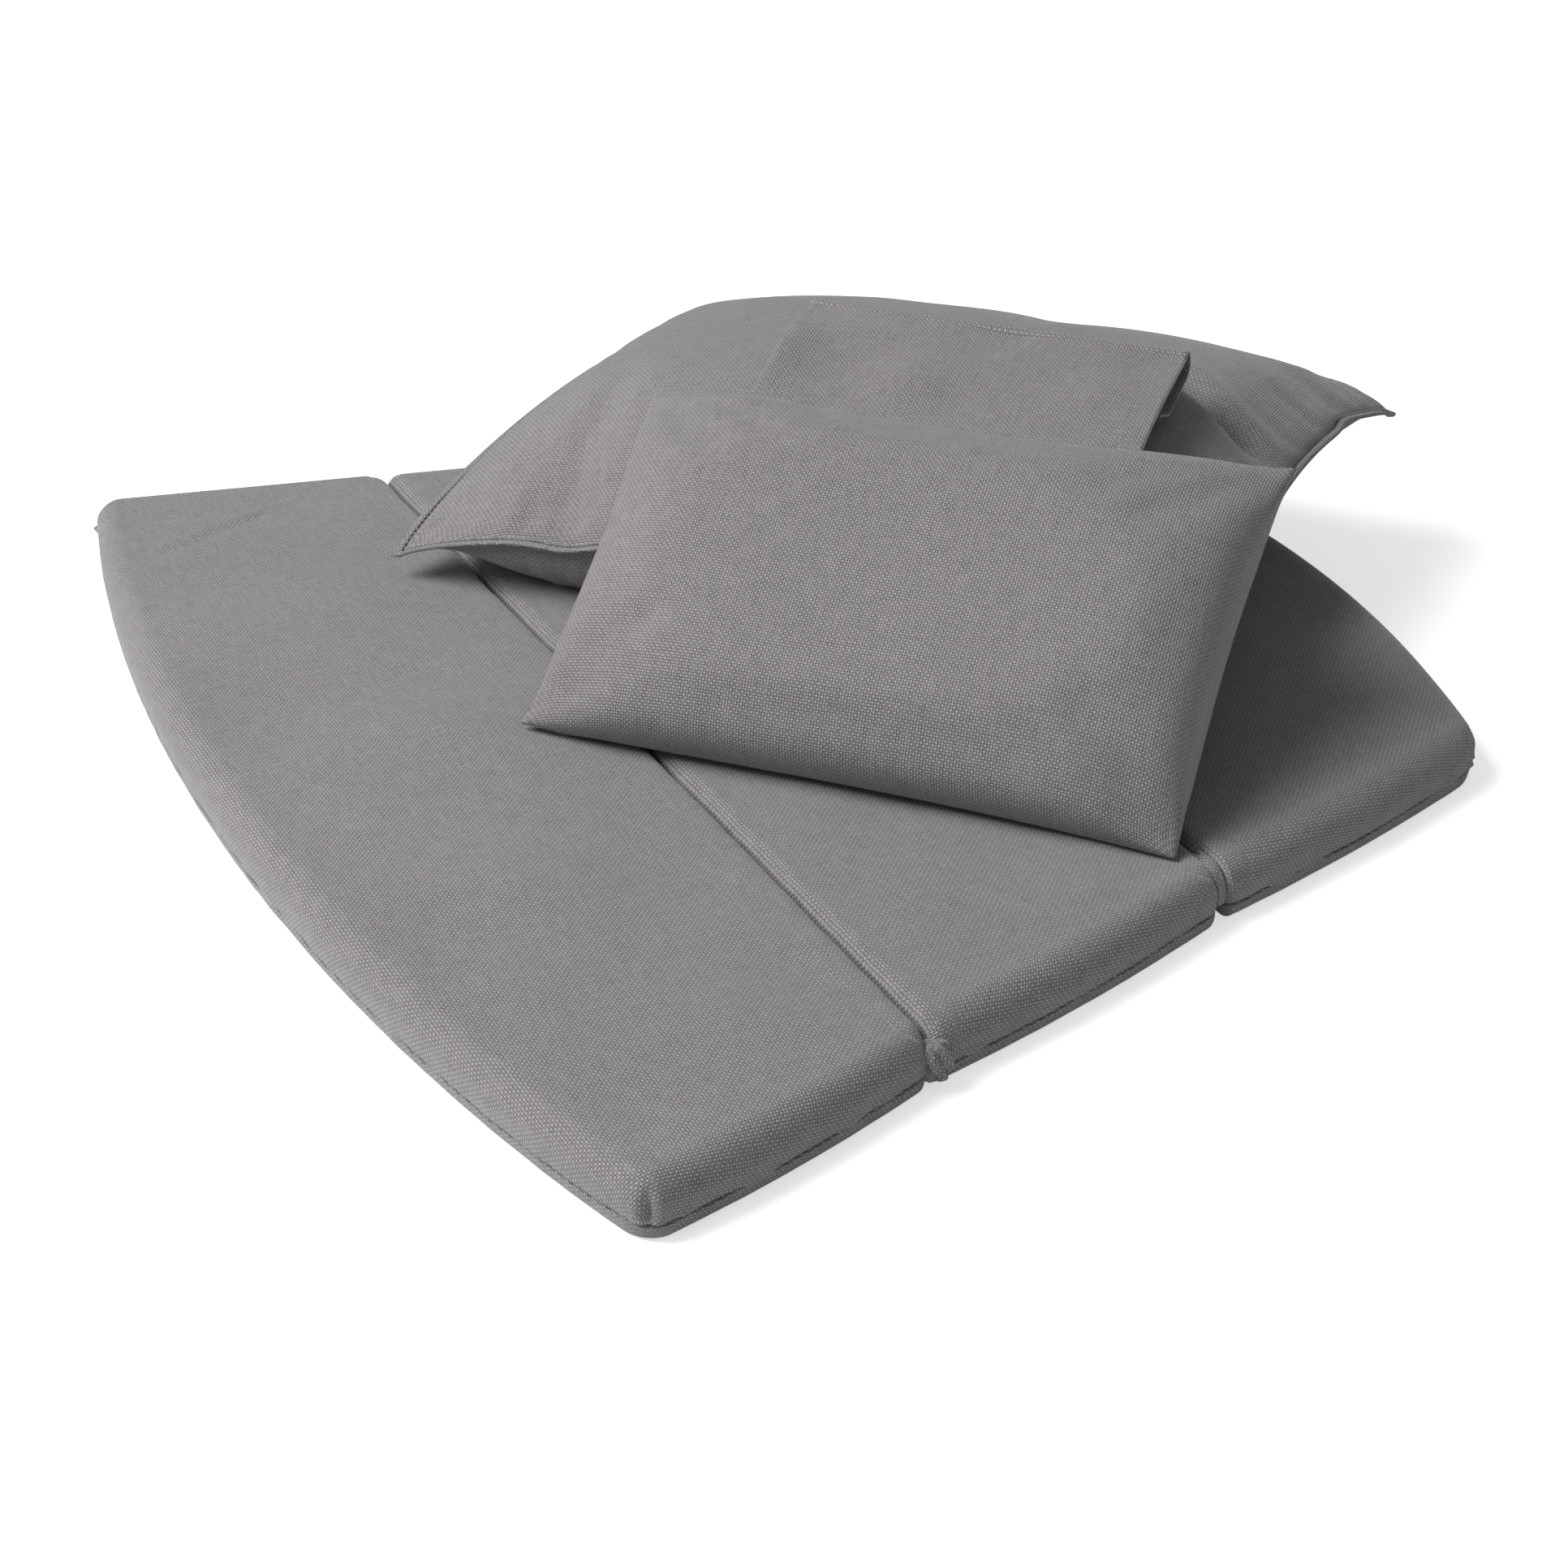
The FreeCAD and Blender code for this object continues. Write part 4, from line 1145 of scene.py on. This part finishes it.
def stitch_row(line, rise):
    """Row of stitches along a closed line: spindles of one stitch length, with a gap between them."""
    pitch, stitch, radius = 0.0042, 0.0031, 0.00038
    line = np.concatenate([line, line[:1]]) + UP * rise
    run = run_along(line)
    start = np.arange(0.0, run[-1] - pitch, pitch)
    part = np.linspace(0.0, 1.0, 5)
    where = start[:, None] + stitch * part
    centres = np.stack([np.interp(where, run, line[:, axis]) for axis in range(3)], -1)
    along = unit(centres[:, -1:] - centres[:, :1]) + np.zeros_like(centres)
    across = np.cross(along, UP)
    thick = radius * dome(2.0 * part - 1.0, 2, 0.5) + np.zeros(where.shape)
    return beads(centres, (across, np.cross(across, along)), (thick, thick))


class CUSHIONS_OT_back_cushion(bpy.types.Operator):
    """Builds the plump back cushion with its knife edge and stitched flange"""

    bl_idname = "cushions.back_cushion"
    bl_label = "Back Cushion"

    def execute(self, context):
        flange = settings("cushion").flange
        piece, line, _ = stuffed_mesh(
            "back_cushion_body", cushion_face, (*cushion_axes(), UP), cushion_hold,
            counts=(130, 104), lip=(flange, 0.0012), settle=(6.0, 0.02, 0.018),
        )
        nodes = ["cushion_top_cover", "cushion_bottom_cover", "cushion_fill"]
        dress(piece, "back_cushion", woven_cloth(), nodes)
        stitches = grid_mesh("cushion_edge_stitches", *stitch_row(line, 0.0014))
        dress(stitches, "back_cushion", sewing_thread())
        return {"FINISHED"}


class CUSHIONS_OT_neck_pillow(bpy.types.Operator):
    """Builds the neck pillow that leans on the back cushion"""

    bl_idname = "cushions.neck_pillow"
    bl_label = "Neck Pillow"

    def execute(self, context):
        centre, along, up, front = pillow_frame()
        piece, _, back = stuffed_mesh(
            "neck_pillow_body", pillow_face, (along, up, front), off_pad,
            counts=(110, 76), lip=(0.0, 0.0), settle=(6.0, 0.004, 0.004),
        )
        SETTLED["pillow_back"] = (centre - back) @ front
        nodes = ["pillow_front_cover", "pillow_back_cover", "pillow_fill"]
        dress(piece, "neck_pillow", woven_cloth(), nodes)
        return {"FINISHED"}


# Flap


def flap_path(flap, count):
    """Run of the flap's cloth from the seam: the upper layer, a half turn and the layer under it.

    The under layer follows the half turn level, then rises towards the upper one with a smooth step.
    """
    layers, tuck_drop = 0.0024, 0.006
    bend = math.pi * flap.loop
    run = np.linspace(-flap.tuck, flap.upper + bend + flap.under, count)
    angle = np.clip((run - flap.upper) / flap.loop, 0.0, math.pi)
    beyond = np.maximum(run - flap.upper - bend, 0.0)
    y = np.minimum(run, flap.upper) + flap.loop * np.sin(angle) - beyond
    z = -flap.loop * (1.0 - np.cos(angle))
    closing = 1.0 - flap_opening(flap, y)
    z = np.where(beyond > 0.0, z + (2.0 * flap.loop - layers) * closing, z)
    z = z + flap.bulge * np.sin(math.pi * np.clip(y / flap.upper, 0.0, 1.0)) * (beyond <= 0.0)
    z = z - tuck_drop * np.clip(-y / flap.tuck, 0.0, 1.0) ** 2
    total = float(np.hypot(np.diff(y), np.diff(z)).sum())
    return y, z, run, total


class CUSHIONS_OT_flap(bpy.types.Operator):
    """Builds the cloth flap that lies over the back cushion and turns under itself"""

    bl_idname = "cushions.flap"
    bl_label = "Flap"

    def execute(self, context):
        flap = settings("flap")
        middle, axis, back, out = flap_frame()
        y, z, run, total = flap_path(flap, 130)
        across = np.linspace(-flap.width / 2.0, flap.width / 2.0, 90)
        wide, deep = np.meshgrid(across, run, indexing="xy")
        wave_height, ridge_height, ridge_place = 0.0010, 0.0026, 0.003
        wave = wave_height * ripple(wide, deep, 61, 0.2, 0.06) * ease(deep / 0.03) * (deep < flap.upper)
        ridge = ridge_height * bell(deep - flap.upper - ridge_place, 0.0042)
        rise = z[:, None] + wave + flap_curl(flap, wide, y[:, None]) + ridge
        points = middle + wide[..., None] * axis + y[:, None, None] * back + rise[..., None] * out
        piece = wall_mesh("flap_cloth", points, np.stack([wide, deep], -1), closed=False)
        thicken(piece, 0.0013, 0.0)
        piece.data.materials.append(woven_cloth())
        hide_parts("flap")
        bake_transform(piece)
        return {"FINISHED"}


# Zips


def zip_frame(name):
    """Middle of a zip's chain, its length, and its directions: along it, out of the cover and across it."""
    low, high = (np.array(corner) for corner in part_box(name + "_zip_chain"))
    run = np.array(JOINTS[name + "_zip"]["axis"])
    out = unit(np.cross(UP, run))
    main_axis = int(np.argmax(np.abs(run)))
    end_room = 0.0012
    reach = float((high - low)[main_axis] / abs(run[main_axis])) - end_room
    return (low + high) / 2.0, reach, run, out, np.cross(run, out)


def zip_teeth(name):
    """Two rows of teeth that mesh at the middle of the chain: stubs with a wide head, a neck and a root."""
    middle, reach, run, out, up = zip_frame(name)
    pitch = 0.0022
    count = int(reach / pitch)
    spot = (np.arange(count) - (count - 1) / 2.0) * pitch
    row = np.where(np.arange(count) % 2 == 0, 1.0, -1.0)
    rise = np.array([-0.0007, -0.0007, 0.0004, 0.0012, 0.0029, 0.0029])
    wide = np.array([0.0, 0.00088, 0.00080, 0.00060, 0.00078, 0.0])
    deep = np.array([0.0, 0.00070, 0.00072, 0.00066, 0.00072, 0.0])
    centres = middle + ZIP_STAND * out + spot[:, None, None] * run
    centres = centres + (row[:, None] * rise)[..., None] * up
    ways = run + np.zeros_like(centres), out * row[:, None, None] + np.zeros_like(centres)
    radii = wide + np.zeros((count, 1)), deep + np.zeros((count, 1))
    return beads(centres, ways, radii)


def zip_tape(name):
    """Woven tape behind the teeth: a thin flat strip along the chain, with a corded edge on both sides."""
    middle, reach, run, out, up = zip_frame(name)
    half_width, half_depth, cord_place, cord_rise, power = 0.0029, 0.00030, 0.0024, 0.00025, 0.35
    angle = np.linspace(0.0, FULL_TURN, 41)[:-1]
    across = half_width * np.sign(np.cos(angle)) * np.abs(np.cos(angle)) ** power
    cord = bell(np.abs(across) - cord_place, 0.0005)
    depth = (half_depth + cord_rise * cord) * np.sign(np.sin(angle)) * np.abs(np.sin(angle)) ** power
    spot = np.linspace(-reach / 2.0, reach / 2.0, 40)
    spot = np.concatenate([spot[:1], spot, spot[-1:]])
    size = np.ones(len(spot))
    size[[0, -1]] = 0.0
    section = across[:, None] * up + depth[:, None] * out
    points = middle - ZIP_STAND * out + spot[:, None, None] * run + size[:, None, None] * section
    return points, np.stack(np.broadcast_arrays(spot[:, None], across[None, :]), -1)


class CUSHIONS_OT_zips(bpy.types.Operator):
    """Builds the zips' tapes and teeth and finishes their sliders and the flap's weight"""

    bl_idname = "cushions.zips"
    bl_label = "Zips and Weight"

    def execute(self, context):
        plastic = moulded_zip()
        bodies = {name: name + "_panel" for name in OUTER_CORNERS}
        bodies["cushion"] = "back_cushion"
        for name, body in bodies.items():
            tape = wall_mesh(name + "_zip_tape", *zip_tape(name))
            dress(tape, body, zip_cloth(), [name + "_zip_chain"])
            dress(grid_mesh(name + "_zip_teeth", *zip_teeth(name)), body, plastic)
            paint(frame["nodes"][name + "_zip_slider"].data, plastic)
        paint(frame["nodes"]["flap_weight"].data, rolled_steel())
        return {"FINISHED"}


# Stage


def set_up(name, data, spot, aim):
    """Puts a lamp or camera at a place, looking at a point."""
    holder = bpy.data.objects.new(name, data)
    holder.location = spot
    holder.rotation_euler = (Vector(aim) - Vector(spot)).to_track_quat("-Z", "Y").to_euler()
    bpy.context.scene.collection.objects.link(holder)
    return holder


def studio_world():
    """World that is white to the camera and a dim even light to everything else."""
    dim_light = 0.20
    world = bpy.data.worlds.new("studio_world")
    world.use_nodes = True
    tree = world.node_tree
    sky = tree.nodes["Background"]
    sky.inputs["Color"].default_value = WHITE
    ray = tree.nodes.new("ShaderNodeLightPath")
    bright = tree.nodes.new("ShaderNodeMapRange")
    bright.inputs["To Min"].default_value = dim_light
    tree.links.new(ray.outputs["Is Camera Ray"], bright.inputs["Value"])
    tree.links.new(bright.outputs["Result"], sky.inputs["Strength"])
    return world


class CUSHIONS_OT_stage(bpy.types.Operator):
    """Sets the pale floor, the soft studio light and the camera"""

    bl_idname = "cushions.stage"
    bl_label = "Stage"

    def execute(self, context):
        stage = settings("stage")
        scene = context.scene
        grid = np.linspace(-6.0, 6.0, 3)
        x, y = np.meshgrid(grid, grid, indexing="ij")
        floor = wall_mesh("studio_floor", np.stack([x, y, np.zeros_like(x)], -1), closed=False)
        floor.data.materials.append(pale_floor(np.array(stage.floor_tone)))
        scene.world = studio_world()
        for name, spot, span, power in (
            ("key_light", (-2.2, 0.75, 2.8), 2.2, 140.0),
            ("fill_light", (-1.6, -2.4, 2.2), 2.0, 3.0),
        ):
            lamp = bpy.data.lights.new(name, "AREA")
            lamp.size = span
            lamp.energy = power
            set_up(name, lamp, spot, (0.0, 0.0, 0.05))
        lens = bpy.data.cameras.new("photo_camera")
        lens.lens = stage.lens
        lens.sensor_width = 36.0
        lens.clip_start = 0.05
        scene.camera = set_up("photo_camera", lens, stage.eye, stage.aim)
        scene.view_settings.view_transform = "Standard"
        return {"FINISHED"}


class CUSHIONS_PT_builder(bpy.types.Panel):
    """Lists the builders of the cushion set"""

    bl_idname = "CUSHIONS_PT_builder"
    bl_label = "Cushion Set"
    bl_space_type = "VIEW_3D"
    bl_region_type = "UI"
    bl_category = "Cushions"

    def draw(self, context):
        for operator in BUILDERS:
            self.layout.operator(operator.bl_idname)


GROUPS = {
    "pad": PadSettings,
    "cushion": CushionSettings,
    "pillow": PillowSettings,
    "flap": FlapSettings,
    "cloth": ClothSettings,
    "stage": StageSettings,
}
BUILDERS = [
    CUSHIONS_OT_pad_panels,
    CUSHIONS_OT_creases,
    CUSHIONS_OT_neck_pillow,
    CUSHIONS_OT_back_cushion,
    CUSHIONS_OT_flap,
    CUSHIONS_OT_zips,
    CUSHIONS_OT_stage,
]
CLASSES = [*GROUPS.values(), *BUILDERS, CUSHIONS_PT_builder]


def register():
    for item in CLASSES:
        bpy.utils.register_class(item)
    for name, group in GROUPS.items():
        setattr(bpy.types.Scene, "cushions_" + name, PointerProperty(type=group))


def unregister():
    for name in GROUPS:
        delattr(bpy.types.Scene, "cushions_" + name)
    for item in reversed(CLASSES):
        bpy.utils.unregister_class(item)


def main():
    register()
    bpy.ops.cushions.pad_panels()
    bpy.ops.cushions.creases()
    bpy.ops.cushions.neck_pillow()
    bpy.ops.cushions.back_cushion()
    bpy.ops.cushions.flap()
    bpy.ops.cushions.zips()
    bpy.ops.cushions.stage()


if __name__ == "__main__":
    main()
